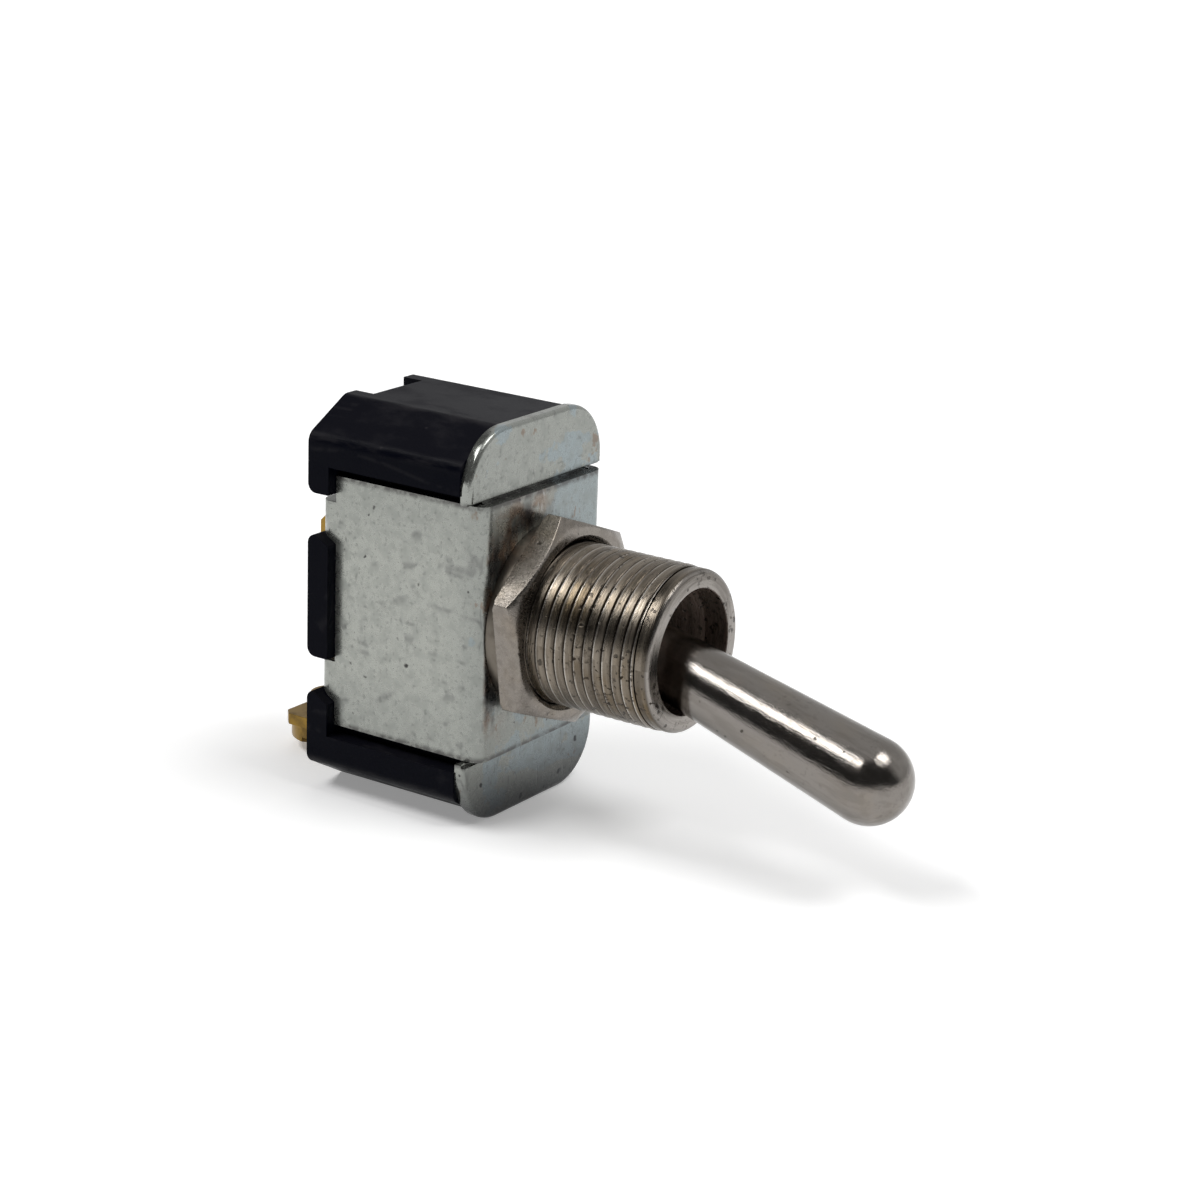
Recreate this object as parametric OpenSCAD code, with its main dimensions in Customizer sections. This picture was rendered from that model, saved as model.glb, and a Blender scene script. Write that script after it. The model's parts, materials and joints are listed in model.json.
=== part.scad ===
// Panel toggle switch: threaded bushing, bat lever, folded steel frame, moulded case with a rocker inside.
// Millimetres. The origin lies on the bushing's axis, in the frame's front face, which seats on the panel.
// The bushing points along -Y, the case lies along +Y, and the lever swings up and down in the YZ plane.

/* [Frame] */
// Width over the frame's side walls
frame_w = 14.6; // [14:0.1:18]
// Gap between each end of the frame and the end block beyond it
frame_gap = 0.75; // [0.4:0.05:1]
// How far the side walls reach behind the panel seat
frame_depth = 13.2; // [12:0.1:18]
// Thickness of the frame's sheet steel
sheet = 0.75; // [0.6:0.05:1]
// Outside radius of the frame's bends
bend_r = 1.0; // [0.9:0.05:1.6]
// Height of each fold-over tab
tab_h = 2.2; // [1.6:0.1:2.4]
// Distance from the frame's upper end to the upper tab's middle
tab_upper_inset = 3.1; // [2.8:0.05:3.4]
// Distance from the frame's lower end to the lower tab's middle
tab_lower_inset = 3.75; // [3.4:0.05:3.9]
// How far a tab stands behind the side wall before it bends
tab_rise = 0.5; // [0.2:0.05:0.6]
// How far a tab turns in over the case
tab_fold = 1.6; // [1:0.1:2]
// Drop of the sloped shoulder under each tab
tab_shoulder = 0.9; // [0.4:0.1:1.2]

/* [Face plate] */
// How far the face plate's sides stand inside the case's sides
plate_inset = 0.1; // [0:0.05:0.3]
// Thickness of the face plate
plate_t = 0.85; // [0.7:0.05:1.2]
// Radius of the face plate's corners
plate_corner = 4.2; // [3:0.1:5]
// Radius of the face plate's rounded front edge
plate_edge = 0.35; // [0.1:0.05:0.5]
// Height and depth of the step in the face plate along each end of the frame
plate_step = 0.3; // [0.1:0.05:0.4]

/* [Case] */
// Width over the case's end blocks
case_w = 16.3; // [16:0.1:18]
// Height of the case
case_h = 29.2; // [28.5:0.1:31]
// Height of each end block, from the end of the case inwards
end_block_h = 4.4; // [4:0.1:4.8]
// Thickness of the flange behind the frame's side walls
flange_t = 1.85; // [1.4:0.05:2.5]
// Width of the sloped face at each long corner of the end blocks
slope_w = 4.1; // [3:0.1:4.4]
// Height of the sloped face at each long corner of the end blocks
slope_h = 2.25; // [1.8:0.05:2.4]
// Radius that blends the corners of the end blocks
blend_r = 1.0; // [0.4:0.1:1.2]
// Gap between the upper tab and the upper flange block above it
upper_tab_over = 0.65; // [0.1:0.05:0.8]
// Gap between the upper tab and the middle flange block under it
upper_tab_under = 0.25; // [0.1:0.05:0.6]
// Gap between the lower tab and the middle flange block above it
lower_tab_over = 0.35; // [0.1:0.05:0.8]
// Gap between the lower tab and the lower flange block under it
lower_tab_under = 0.1; // [0.1:0.05:0.4]
// Radius on the rear edges of the flange blocks
flange_r = 0.7; // [0.3:0.1:1]
// Width of the mechanism's cavity
cavity_w = 9.2; // [8.6:0.1:10]
// Thickness of the wall at each end of the cavity
end_wall = 2.15; // [1.9:0.05:2.2]
// Thickness of the case's rear wall
rear_wall = 2.75; // [2.4:0.05:3.5]
// Width of the scoop at each end of the rear edge
scoop_w = 5.6; // [4:0.1:7]
// Depth of the scoop
scoop_depth = 0.65; // [0.3:0.05:0.9]
// Length of the scoop's ramp
scoop_len = 1.75; // [1:0.05:2.5]
// Thickness of the insulating sheet at the cavity's mouth
insulator_t = 0.4; // [0.3:0.05:0.6]
// Width of the rim that the insulating sheet lies on
insulator_rim = 0.8; // [0.5:0.1:1]
// Margin round the lever's tail in the insulating sheet's slot
slot_margin = 0.6; // [0.4:0.1:0.8]

/* [Bushing] */
// Major diameter of the 15/32-32 thread
thread_d = 11.9; // [11.8:0.05:12.2]
// Diameter of the thread's turned-down root, under the nut and the washer
root_d = 11.5; // [11.4:0.05:11.55]
// How far the bushing stands out from the panel seat
bushing_len = 12.9; // [12.5:0.1:14.5]
// Length of the plain nose
nose_len = 1.15; // [0.8:0.05:1.5]
// Diameter of the plain nose
nose_d = 11.75; // [11.4:0.05:11.8]
// Radius of the nose's rounded edge
nose_r = 0.45; // [0.2:0.05:0.6]
// Diameter of the bore at the mouth
bore_d = 9.06; // [9:0.02:9.4]
// Diameter of the throat in front of the ball
throat_d = 6.6; // [6.5:0.05:6.8]
// Depth of the cylindrical part of the mouth
mouth_len = 1.9; // [1:0.1:2.2]
// Flat of the frame's web between the bushing's hole and the bends
web_margin = 0.7; // [0.65:0.05:0.9]
// How far the staked rim reaches over the face plate
stake_lip = 0.35; // [0.2:0.05:0.4]
// Thickness of the staked rim
stake_t = 0.5; // [0.3:0.05:0.55]
// Inside diameter behind the ball
rear_bore_d = 8.6; // [8.4:0.05:8.8]
// Thickness of the wall at the staked end
flare_wall = 0.55; // [0.45:0.05:0.6]
// How far the flare reaches forward of the face plate
flare_len = 1.2; // [0.8:0.1:1.4]

/* [Nut and washer] */
// Width across the nut's flats
nut_flats = 14.2; // [13.8:0.1:15]
// Thickness of the nut
nut_t = 2.0; // [1.5:0.1:3]
// Angle at which the nut came to rest
nut_angle = 39.6; // [0:0.1:59]
// Small edge break round the nut's back
nut_break = 0.2; // [0.1:0.05:0.4]
// Diameter of the countersinks in the nut
nut_sink_d = 12.8; // [12.4:0.1:13.4]
// Thickness of the lock washer
washer_t = 1.0; // [0.6:0.05:1.4]
// Width of the lock washer's outer ring
washer_ring = 0.6; // [0.5:0.05:0.8]
// Length of each tooth, from the ring in to the thread
washer_reach = 0.35; // [0.3:0.05:1]
// Number of teeth in the lock washer
washer_teeth = 12; // [8:1:16]
// Width of each tooth
washer_tooth = 1.2; // [1:0.1:1.6]

/* [Lever] */
// Full swing between the two stops
throw_angle = 32.4; // [28:0.2:33]
// Depth of the pivot from the panel seat, along the bushing
pivot_out = 6.77; // [6.6:0.01:6.9]
// Distance from the pivot to the middle of the rounded tip
lever_reach = 21.4; // [18:0.1:24]
// Diameter of the lever's tip
tip_d = 6.26; // [5:0.02:6.4]
// Diameter that the lever's taper has at the pivot
neck_d = 4.6; // [4.2:0.05:4.7]
// Diameter of the pivot ball
ball_d = 7.2; // [7:0.05:7.3]
// Diameter of the tail inside the case
tail_d = 3.8; // [3.6:0.05:3.9]
// Diameter of the pivot pin
pivot_pin_d = 1.6; // [1.4:0.05:1.7]
// Length of the sleeve that traps the pivot pin
sleeve_len = 3.3; // [2:0.1:3.6]

/* [Plunger and spring] */
// Diameter of the plunger
plunger_d = 2.4; // [2:0.05:2.5]
// Distance from the tail's end to the middle of the plunger's round tip, pressed in at rest
plunger_out = 4.0; // [3.6:0.05:4.2]
// Length of the plunger from its flat end to the middle of its tip
plunger_len = 7.1; // [6.8:0.1:7.4]
// Depth of the bore in the tail
tail_bore = 7.4; // [7.2:0.1:7.6]
// Wire diameter of the plunger spring
spring_wire = 0.36; // [0.25:0.01:0.42]
// Number of turns of the plunger spring
spring_turns = 6; // [4:1:8]

/* [Rocker and terminals] */
// How far the rocker turns for each degree of the lever
rocker_ratio = 0.5; // [0.48:0.01:0.52]
// Thickness of the rocker's strip
rocker_t = 0.8; // [0.6:0.05:0.9]
// Width of the rocker
rocker_w = 5.0; // [4:0.1:5.2]
// Diameter of the fulcrum pin
fulcrum_d = 1.2; // [1:0.05:1.3]
// Width of each ear that holds the fulcrum pin
ear_t = 0.6; // [0.5:0.05:0.7]
// Metal round the fulcrum pin in the ears and in the rocker's saddle
ear_rim = 0.5; // [0.4:0.05:0.55]
// Height of each contact tip
contact_t = 0.8; // [0.6:0.05:0.9]
// Crown of each contact tip
contact_crown = 0.2; // [0.1:0.05:0.3]
// Diameter of each contact tip
contact_d = 2.2; // [1.8:0.1:2.4]
// Thickness of the terminal strip
strip_t = 0.86; // [0.7:0.02:1]
// Width of the terminal strip
strip_w = 6.8; // [6.2:0.1:7]
// Height of the load terminal's blade over the case's lower end
load_inset = 3.15; // [3:0.05:3.3]
// How far the terminals stand out behind the case
terminal_out = 6.3; // [6:0.1:8]
// Size of the cut corners at a terminal's end
terminal_cut = 0.6; // [0.2:0.1:1]
// Diameter of a terminal screw's head
screw_head_d = 6.2; // [5:0.1:6.4]
// Height of a terminal screw's head
screw_head_h = 1.9; // [1.4:0.1:2.1]
// Crown of a terminal screw's head
screw_crown = 0.6; // [0.3:0.1:0.8]
// Width of the slot in a terminal screw
screw_slot = 1.0; // [0.7:0.1:1.2]
// Diameter of a terminal screw's shank
screw_d = 3.4; // [3:0.1:3.6]
// Length of a terminal screw's shank
screw_len = 2.0; // [1.6:0.1:2.4]
// Distance of the screws from the ends of their terminals
screw_inset = 2.1; // [1.8:0.1:2.4]
// Diameter of a rivet's shank
rivet_d = 1.1; // [0.8:0.05:1.2]
// Diameter of a rivet's heads
rivet_head_d = 1.8; // [1.5:0.05:1.9]
// Distance of a rivet's head from the edge of its foot
rivet_edge = 0.3; // [0.2:0.05:0.4]
// Height of a rivet's heads
rivet_head_h = 0.35; // [0.2:0.05:0.4]

/* [Hidden] */
$fn = 96;
bore_fn = 128;

// Clearances
run_gap = 0.05;   // a shaft or ball that turns or slides in its seat
seat_gap = 0.02;  // a piece pushed into its hole
side_gap = 0.05;  // between the case and the frame's walls
stake_gap = 0.1;  // round the bushing's staked rim
eps = 0.01;       // how far a cut passes the face that it opens

// Stations behind the panel seat
plate_front = sheet;
case_front = plate_front + plate_t;
tab_rear = frame_depth + tab_rise + bend_r;
ledge = tab_rear - sheet;
flange_front = frame_depth + side_gap;
case_rear = flange_front + flange_t;
floor_y = case_rear - rear_wall;
strip_front = floor_y - strip_t;
terminal_end = case_rear + terminal_out;

// The lever's rest, at its lower stop
rest_tilt = throw_angle / 2;
pivot_y = -pivot_out;

// Widths and heights of the case, the frame between its end blocks and the tabs
core_w = frame_w - 2 * (sheet + side_gap);
block_z = case_h / 2 - end_block_h;
cavity_h = case_h - 2 * end_wall;
frame_h = 2 * (block_z - frame_gap);
tab_upper_z = frame_h / 2 - tab_upper_inset;
tab_lower_z = tab_lower_inset - frame_h / 2;
plate_w = case_w - 2 * plate_inset;
plate_h = case_h;

// Flange blocks, between the end blocks and the tabs
upper_flange_z = tab_upper_z + tab_h / 2 + upper_tab_over;
mid_top = tab_upper_z - tab_h / 2 - upper_tab_under;
mid_bottom = tab_lower_z + tab_h / 2 + lower_tab_over;
lower_flange_z = tab_lower_z - tab_h / 2 - lower_tab_under;

// Bushing behind the panel seat
spigot_d = frame_w - 2 * (bend_r + web_margin);
stake_d = spigot_d + 2 * stake_lip;
flare_d = spigot_d - 2 * flare_wall;

// Nut and washer along the bushing
nut_back = washer_t + seat_gap;
thread_clear_r = thread_d / 2 + run_gap;
washer_bore_r = thread_clear_r + washer_reach;
root_len = nut_back + nut_t - nut_break / 2;

// Load terminal: its blade's upper face, its rivet's middle, and the contact that clears the rivet's head
load_z = load_inset - case_h / 2;
load_rivet_z = load_z + (rivet_head_d + rivet_edge) / 2;
contact_arm = -load_rivet_z - (rivet_head_d + contact_d) / 2;

// Rocker: the plunger's tip runs in the dish at an even gap
plunger_r = plunger_d / 2;
saddle_r = fulcrum_d / 2 + run_gap / 2;
dish_gap = run_gap;
apex = saddle_r + rocker_t + dish_gap + plunger_r;   // tip's middle before the fulcrum, lever straight
fulcrum_y = strip_front - fulcrum_d / 2 - seat_gap;
plunger_reach = fulcrum_y - apex - pivot_y;          // from the pivot to the middle of the plunger's tip
tail_reach = plunger_reach - plunger_out;
rocker_rest = rest_tilt * rocker_ratio;
// The tip's place in the rocker's own frame at the lever's stop: forward and up
stop_forward = apex + plunger_reach * (1 - cos(rest_tilt));
stop_up = plunger_reach * sin(rest_tilt);
path_n = stop_forward * cos(rocker_rest) + stop_up * sin(rocker_rest);
path_u = stop_up * cos(rocker_rest) - stop_forward * sin(rocker_rest);
path_r = (pow(path_u, 2) + pow(path_n - apex, 2)) / (2 * (path_n - apex));
dish_r = path_r + plunger_r + dish_gap;
dish_u = path_u + plunger_r + ear_rim / 2;
fixed_top = (fulcrum_y - strip_front) + contact_t;   // top of the fixed contact, before the fulcrum
// The moving contact's edge meets the fixed contact at the end of the throw
arm_rear = contact_t + seat_gap - contact_crown
           + (fixed_top + run_gap + (contact_arm + contact_d / 2) * sin(rocker_rest)) / cos(rocker_rest);
arm_end = contact_arm + contact_d / 2 + rocker_t / 8;

// Terminals
common_x = 1.0;                     // near face of the common terminal's blade
ear_x = rocker_w / 2 + ear_rim;     // middle of each ear
foot_w = 2 * ear_x + 2 * ear_t;     // width of the common terminal's foot, length of the fulcrum pin
screw_y = terminal_end - screw_inset;

// Puts a solid drawn along +Z so that it runs forward, along -Y, from y0; drawn Y becomes up
module forward(y0 = 0) translate([0, y0, 0]) rotate([90, 0, 0]) children();

// Extrudes an outline drawn in X and up between two stations behind the seat
module slab(y0, y1) forward(y1) linear_extrude(y1 - y0) children();

// Extrudes an outline drawn in Y and up across a width centred on X
module across(w) rotate([90, 0, 90]) linear_extrude(w, center = true) children();

// A cylinder along X
module x_cylinder(d, len) rotate([0, 90, 0]) cylinder(d = d, h = len, center = true);

// Places what is drawn in the lever's straight position at the lever's rest
module at_lever() translate([0, pivot_y, 0]) rotate([rest_tilt, 0, 0]) children();

// Places what is drawn about the fulcrum, rocker straight, at the rocker's rest
module at_rocker() translate([0, fulcrum_y, 0]) rotate([-rocker_rest, 0, 0]) children();

// Both sides of the switch
module both_sides() { children(); mirror([1, 0, 0]) children(); }

// ---- Frame ----

// The U of the frame seen from above: front web, two bends and two side walls
module frame_section() {
    w = frame_w / 2;
    outer_r = bend_r;
    difference() {
        union() {
            translate([-w, outer_r]) square([frame_w, frame_depth - outer_r]);
            translate([-w + outer_r, 0]) square([frame_w - 2 * outer_r, outer_r + eps]);
            for (s = [-1, 1]) translate([s * (w - outer_r), outer_r]) circle(outer_r);
        }
        inner_r = outer_r - sheet;
        inside = w - sheet;
        translate([-inside, sheet + inner_r]) square([2 * inside, frame_depth]);
        translate([-inside + inner_r, sheet]) square([2 * (inside - inner_r), inner_r + eps]);
        for (s = [-1, 1]) translate([s * (inside - inner_r), sheet + inner_r]) circle(inner_r);
    }
}

// A tab seen from above: it leaves the side wall, bends and lies on the case's ledge
module tab_section() {
    w = frame_w / 2;
    inner_r = bend_r - sheet;
    mid = [w - bend_r, tab_rear - bend_r];
    difference() {
        union() {
            translate([w - sheet, frame_depth - sheet]) square([sheet, mid[1] - frame_depth + sheet]);
            translate([w - sheet - tab_fold, ledge]) square([tab_fold + sheet - bend_r, sheet]);
            intersection() {
                translate(mid) circle(bend_r);
                translate(mid) square(bend_r + eps);
            }
        }
        translate(mid) circle(inner_r);
    }
}

// The space of the sloped shoulder under a tab, in Y and up
module shoulder_outline(z_low, gap = 0) {
    polygon([[frame_depth - sheet, z_low + eps], [tab_rear + gap, z_low + eps],
             [tab_rear + gap, z_low - gap], [frame_depth + gap, z_low - gap - tab_shoulder],
             [frame_depth - sheet, z_low - gap - tab_shoulder]]);
}

// A tab on its bend, and the shoulder that it widens into towards the side wall
module tab(z) {
    z_low = z - tab_h / 2;
    translate([0, 0, z_low]) linear_extrude(tab_h) tab_section();
    intersection() {
        translate([0, 0, z_low - tab_shoulder]) linear_extrude(tab_shoulder + eps) tab_section();
        translate([(frame_w - bend_r) / 2, 0, 0]) across(bend_r + eps) shoulder_outline(z_low);
    }
}

module frame() {
    color("gainsboro")
    difference() {
        union() {
            translate([0, 0, -frame_h / 2]) linear_extrude(frame_h) frame_section();
            both_sides() for (z = [tab_upper_z, tab_lower_z]) tab(z);
        }
        forward(2 * sheet) cylinder(d = spigot_d + 2 * seat_gap, h = 3 * sheet, $fn = bore_fn);
    }
}

// ---- Face plate ----

// Half section of the plate's rim: square at the back, rounded at the front
module rim_section(reach) {
    square([reach, plate_t - plate_edge]);
    square([reach - plate_edge, plate_t]);
    translate([reach - plate_edge, plate_t - plate_edge]) circle(plate_edge);
}

module face_plate() {
    x = plate_w / 2 - plate_corner;
    z = plate_h / 2 - plate_corner;
    color("silver")
    difference() {
        forward(case_front) union() {
            translate([-x, -z, 0]) cube([2 * x, 2 * z, plate_t]);
            for (side = [0, 180]) rotate(side) {
                translate([x, z, 0]) rotate([90, 0, 0]) linear_extrude(2 * z) rim_section(plate_corner);
                translate([-x, z, 0]) rotate([90, 0, 90]) linear_extrude(2 * x) rim_section(plate_corner);
                translate([x, z, 0]) rotate_extrude(angle = 90) rim_section(plate_corner);
                translate([-x, z, 0]) rotate(90) rotate_extrude(angle = 90) rim_section(plate_corner);
            }
        }
        forward(case_front + 1) cylinder(d = spigot_d + 2 * seat_gap, h = plate_t + 2, $fn = bore_fn);
        for (side = [0, 1]) mirror([0, 0, side])
            translate([-plate_w / 2 - 1, plate_front + plate_step - 1, frame_h / 2])
                cube([plate_w + 2, 1, plate_step]);
        // The waist that fits between the frame's side walls and clear of its bends
        waist_h = frame_h + 4 * side_gap;
        both_sides() translate([frame_w / 2 - bend_r - side_gap, plate_front - 1, -waist_h / 2])
            cube([plate_w, plate_t + 2, waist_h]);
    }
}

// ---- Case ----

// Points of the arc that blends the corner b between a and c with radius r
function unit(v) = v / norm(v);
function corner_arc(a, b, c, r, n = 5) =
    let (u = unit(a - b), v = unit(c - b),
         half = acos(u * v) / 2,
         mid = b + unit(u + v) * r / sin(half),
         p = b + u * r / tan(half) - mid,
         q = b + v * r / tan(half) - mid,
         sweep = 180 - 2 * half,
         turn = sign(p[0] * q[1] - p[1] * q[0]))
    [for (i = [0 : n]) let (t = turn * sweep * i / n)
        mid + [p[0] * cos(t) - p[1] * sin(t), p[0] * sin(t) + p[1] * cos(t)]];

// Outline of an end block, in X and up, with its sloped long corners
module end_block_outline() {
    w = case_w / 2;
    top = case_h / 2;
    low = [w, top - slope_h];
    high = [w - slope_w, top];
    side = concat([[w, block_z]], corner_arc([w, block_z], low, high, blend_r),
                  corner_arc(low, high, [0, top], blend_r));
    count = len(side);
    polygon(concat(side, [for (i = [count - 1 : -1 : 0]) [-side[i][0], side[i][1]]]));
}

// The end block with the scoop in its rear edge
module end_block() {
    difference() {
        slab(case_front, case_rear) end_block_outline();
        across(scoop_w) polygon([[case_rear + eps, case_h / 2 - scoop_depth],
                                 [case_rear + eps, case_h / 2 + 1],
                                 [case_rear - scoop_len, case_h / 2 + 1],
                                 [case_rear - scoop_len, case_h / 2 + eps]]);
    }
}

// A flange block between two heights, with rounded rear edges
module flange_block(z0, z1) {
    r = min(flange_r, (z1 - z0) / 2 - eps, flange_t - eps);
    across(case_w) union() {
        translate([flange_front, z0]) square([flange_t - r, z1 - z0]);
        translate([flange_front, z0 + r]) square([flange_t, z1 - z0 - 2 * r]);
        for (z = [z0 + r, z1 - r]) translate([case_rear - r, z]) circle(r);
    }
}

module case() {
    gap_z = [[mid_top, upper_flange_z], [lower_flange_z, mid_bottom]];
    color("#1b1c20")
    difference() {
        union() {
            end_block();
            mirror([0, 0, 1]) end_block();
            slab(case_front, case_rear - rear_wall / 3)
                square([core_w, 2 * block_z + 2 * eps], center = true);
            flange_block(upper_flange_z, block_z + blend_r);
            flange_block(-block_z - blend_r, lower_flange_z);
            flange_block(mid_bottom, mid_top);
            slab(floor_y, case_rear) square([2 * tab_inner_x(), 2 * block_z], center = true);
        }
        // Pockets in the rear flange where the frame's tabs lie
        both_sides() for (g = gap_z) {
            translate([tab_inner_x(), ledge, g[0]]) cube([case_w, case_rear, g[1] - g[0]]);
            translate([frame_w / 2 - bend_r - side_gap, ledge - bend_r + sheet, g[0]])
                cube([case_w, case_rear, g[1] - g[0]]);
        }
        both_sides() for (z = [tab_upper_z, tab_lower_z])
            translate([case_w / 2 + frame_w / 2 - bend_r - side_gap, 0, 0])
                across(case_w) shoulder_outline(z - tab_h / 2, side_gap);
        // Cavity of the mechanism, the insulating sheet's rim and the staked rim's relief
        slab(case_front - eps, floor_y) square([cavity_w, cavity_h], center = true);
        slab(case_front - eps, case_front + stake_t + insulator_t + 2 * seat_gap)
            square([cavity_w + 2 * insulator_rim, cavity_h + 2 * insulator_rim], center = true);
        forward(case_front + stake_t + 2 * seat_gap)
            cylinder(d = stake_d + 2 * stake_gap, h = stake_t + 1, $fn = bore_fn);
        // Slots and holes of the terminals
        translate([-strip_w / 2 - seat_gap, floor_y - 1, load_z - strip_t - seat_gap])
            cube([strip_w + 2 * seat_gap, rear_wall + 2, strip_t + 2 * seat_gap]);
        translate([common_x - seat_gap, floor_y - 1, -strip_w / 2 - seat_gap])
            cube([strip_t + 2 * seat_gap, rear_wall + 2, strip_w + 2 * seat_gap]);
        for (p = [common_rivet_at(), load_rivet_at()]) translate([p[0], 0, p[1]])
            forward(case_rear + 1) cylinder(d = rivet_d + 2 * seat_gap, h = rear_wall + 2);
    }
}

// Where the tabs' ends stop, and where the case's pockets end
function tab_inner_x() = frame_w / 2 - sheet - tab_fold - 0.15;

module insulator() {
    front = case_front + stake_t + 2 * seat_gap;
    slot_h = 2 * ((front + insulator_t - pivot_y) * tan(rest_tilt) + tail_d / 2 + 1.5 * slot_margin);
    slot_w = tail_d + 2 * slot_margin;
    w = cavity_w + 2 * (insulator_rim - side_gap);
    h = cavity_h + 2 * (insulator_rim - side_gap);
    color("saddlebrown")
    slab(front, front + insulator_t)
        difference() {
            square([w, h], center = true);
            square([slot_w, slot_h - slot_w], center = true);
            for (s = [-1, 1]) translate([0, s * (slot_h - slot_w) / 2]) circle(d = slot_w);
        }
}

// ---- Bushing ----

module bushing() {
    ball_r = ball_d / 2 + run_gap;
    throat_out = pivot_out + sqrt(pow(ball_r, 2) - pow(throat_d / 2, 2));
    mouth_out = bushing_len - mouth_len;
    pin_back = pivot_out - pivot_pin_d / 2 - seat_gap;
    color("#8d857a")
    difference() {
        union() {
            forward() cylinder(d = root_d, h = root_len + eps, $fn = bore_fn);
            forward(-root_len)
                cylinder(d = thread_d, h = bushing_len - nose_len - root_len, $fn = bore_fn);
            forward(nose_len + eps - bushing_len) rotate_extrude($fn = bore_fn) {
                square([nose_d / 2, nose_len + eps - nose_r]);
                square([nose_d / 2 - nose_r, nose_len + eps]);
                translate([nose_d / 2 - nose_r, nose_len + eps - nose_r]) circle(nose_r);
            }
            forward(case_front + seat_gap)
                cylinder(d = spigot_d, h = case_front + seat_gap, $fn = bore_fn);
            forward(case_front + stake_t + seat_gap) cylinder(d = stake_d, h = stake_t, $fn = bore_fn);
        }
        // Mouth, cone and throat
        forward(-mouth_out) cylinder(d = bore_d, h = mouth_len + 1, $fn = bore_fn);
        forward(-throat_out - 0.3)
            cylinder(d1 = throat_d, d2 = bore_d, h = mouth_out - throat_out - 0.3 + eps, $fn = bore_fn);
        forward(pivot_y) cylinder(d = throat_d, h = throat_out - pivot_out + 0.4, $fn = bore_fn);
        // Ball seat, and the bore behind it for the sleeve
        translate([0, pivot_y, 0]) sphere(ball_r, $fn = bore_fn);
        forward(case_front + stake_t + 1)
            cylinder(r = ball_r, h = case_front + stake_t + 1 + pivot_out, $fn = bore_fn);
        forward(case_front + stake_t + 1)
            cylinder(d = rear_bore_d, h = case_front + stake_t + 1 + pin_back, $fn = bore_fn);
        forward(case_front + stake_t + seat_gap + eps)
            cylinder(d1 = flare_d, d2 = rear_bore_d, h = case_front + flare_len, $fn = bore_fn);
        // Slots that the pivot pin slides into from behind
        translate([0, pivot_y, 0]) x_cylinder(pivot_pin_d + 2 * seat_gap, rear_bore_d);
        translate([-rear_bore_d / 2, pivot_y, -pivot_pin_d / 2 - seat_gap])
            cube([rear_bore_d, pivot_pin_d, pivot_pin_d + 2 * seat_gap]);
    }
}

module pivot_pin() {
    color("slategray")
    translate([0, pivot_y, 0]) x_cylinder(pivot_pin_d, rear_bore_d - 4 * seat_gap);
}

module pivot_sleeve() {
    front = pivot_out - pivot_pin_d / 2 - 2 * seat_gap;
    color("darkgray")
    difference() {
        forward(sleeve_len - front)
            cylinder(d = rear_bore_d - 2 * seat_gap, h = sleeve_len, $fn = bore_fn);
        forward(sleeve_len - front + 1)
            cylinder(d = ball_d + 2 * run_gap, h = sleeve_len + 2, $fn = bore_fn);
    }
}

// ---- Nut and washer ----

module lock_washer() {
    color("#a9a49b")
    forward() linear_extrude(washer_t) difference() {
        union() {
            difference() { circle(washer_bore_r + washer_ring); circle(washer_bore_r); }
            for (i = [0 : washer_teeth - 1]) rotate(i * 360 / washer_teeth)
                translate([0, -washer_tooth / 2]) square([washer_bore_r + washer_ring / 2, washer_tooth]);
        }
        circle(thread_clear_r);
    }
}

// Hexagon with its front corners chamfered by a cone, and both ends of the bore countersunk
module hex_nut() {
    flat_r = nut_flats / 2;
    corner_r = flat_r / cos(30);
    chamfer_r = flat_r - nut_break;
    sink = nut_sink_d / 2 - thread_clear_r;
    color("#8f887e")
    forward(-nut_back) difference() {
        intersection() {
            rotate(nut_angle) cylinder(r = corner_r, h = nut_t, $fn = 6);
            rotate_extrude($fn = bore_fn) polygon([
                [0, 0], [corner_r - nut_break, 0], [corner_r + eps, nut_break],
                [corner_r + eps, nut_t - (corner_r - chamfer_r) * tan(30)],
                [chamfer_r, nut_t], [0, nut_t]]);
        }
        translate([0, 0, -1]) cylinder(r = thread_clear_r, h = nut_t + 2, $fn = bore_fn);
        translate([0, 0, nut_t - sink])
            cylinder(r1 = thread_clear_r, r2 = nut_sink_d / 2 + eps, h = sink + eps, $fn = bore_fn);
        translate([0, 0, -eps])
            cylinder(r1 = nut_sink_d / 2, r2 = thread_clear_r, h = sink, $fn = bore_fn);
    }
}

// ---- Lever, plunger and spring ----

module lever() {
    color("#9b938a")
    at_lever() difference() {
        union() {
            forward() cylinder(d1 = neck_d, d2 = tip_d, h = lever_reach, $fn = bore_fn);
            translate([0, -lever_reach, 0]) sphere(d = tip_d, $fn = bore_fn);
            sphere(d = ball_d, $fn = bore_fn);
            forward(tail_reach) cylinder(d = tail_d, h = tail_reach, $fn = bore_fn);
        }
        x_cylinder(pivot_pin_d + 2 * run_gap, ball_d + 1);
        forward(tail_reach + 1) cylinder(d = plunger_d + 2 * run_gap, h = tail_bore + 1, $fn = bore_fn);
    }
}

module plunger() {
    color("ivory")
    at_lever() union() {
        forward(plunger_reach) cylinder(d = plunger_d, h = plunger_len);
        translate([0, plunger_reach, 0]) sphere(d = plunger_d);
    }
}

// Points of the spring's wire ring by ring, and the helix as one closed solid
function coil_point(i, j, steps, sides, r, len) =
    let (a = 360 * i / steps * spring_turns, b = 360 * j / sides, w = spring_wire / 2,
         rise = w + (len - spring_wire) * i / steps)
    [(r + w * cos(b)) * cos(a), rise + w * sin(b), (r + w * cos(b)) * sin(a)];

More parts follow.
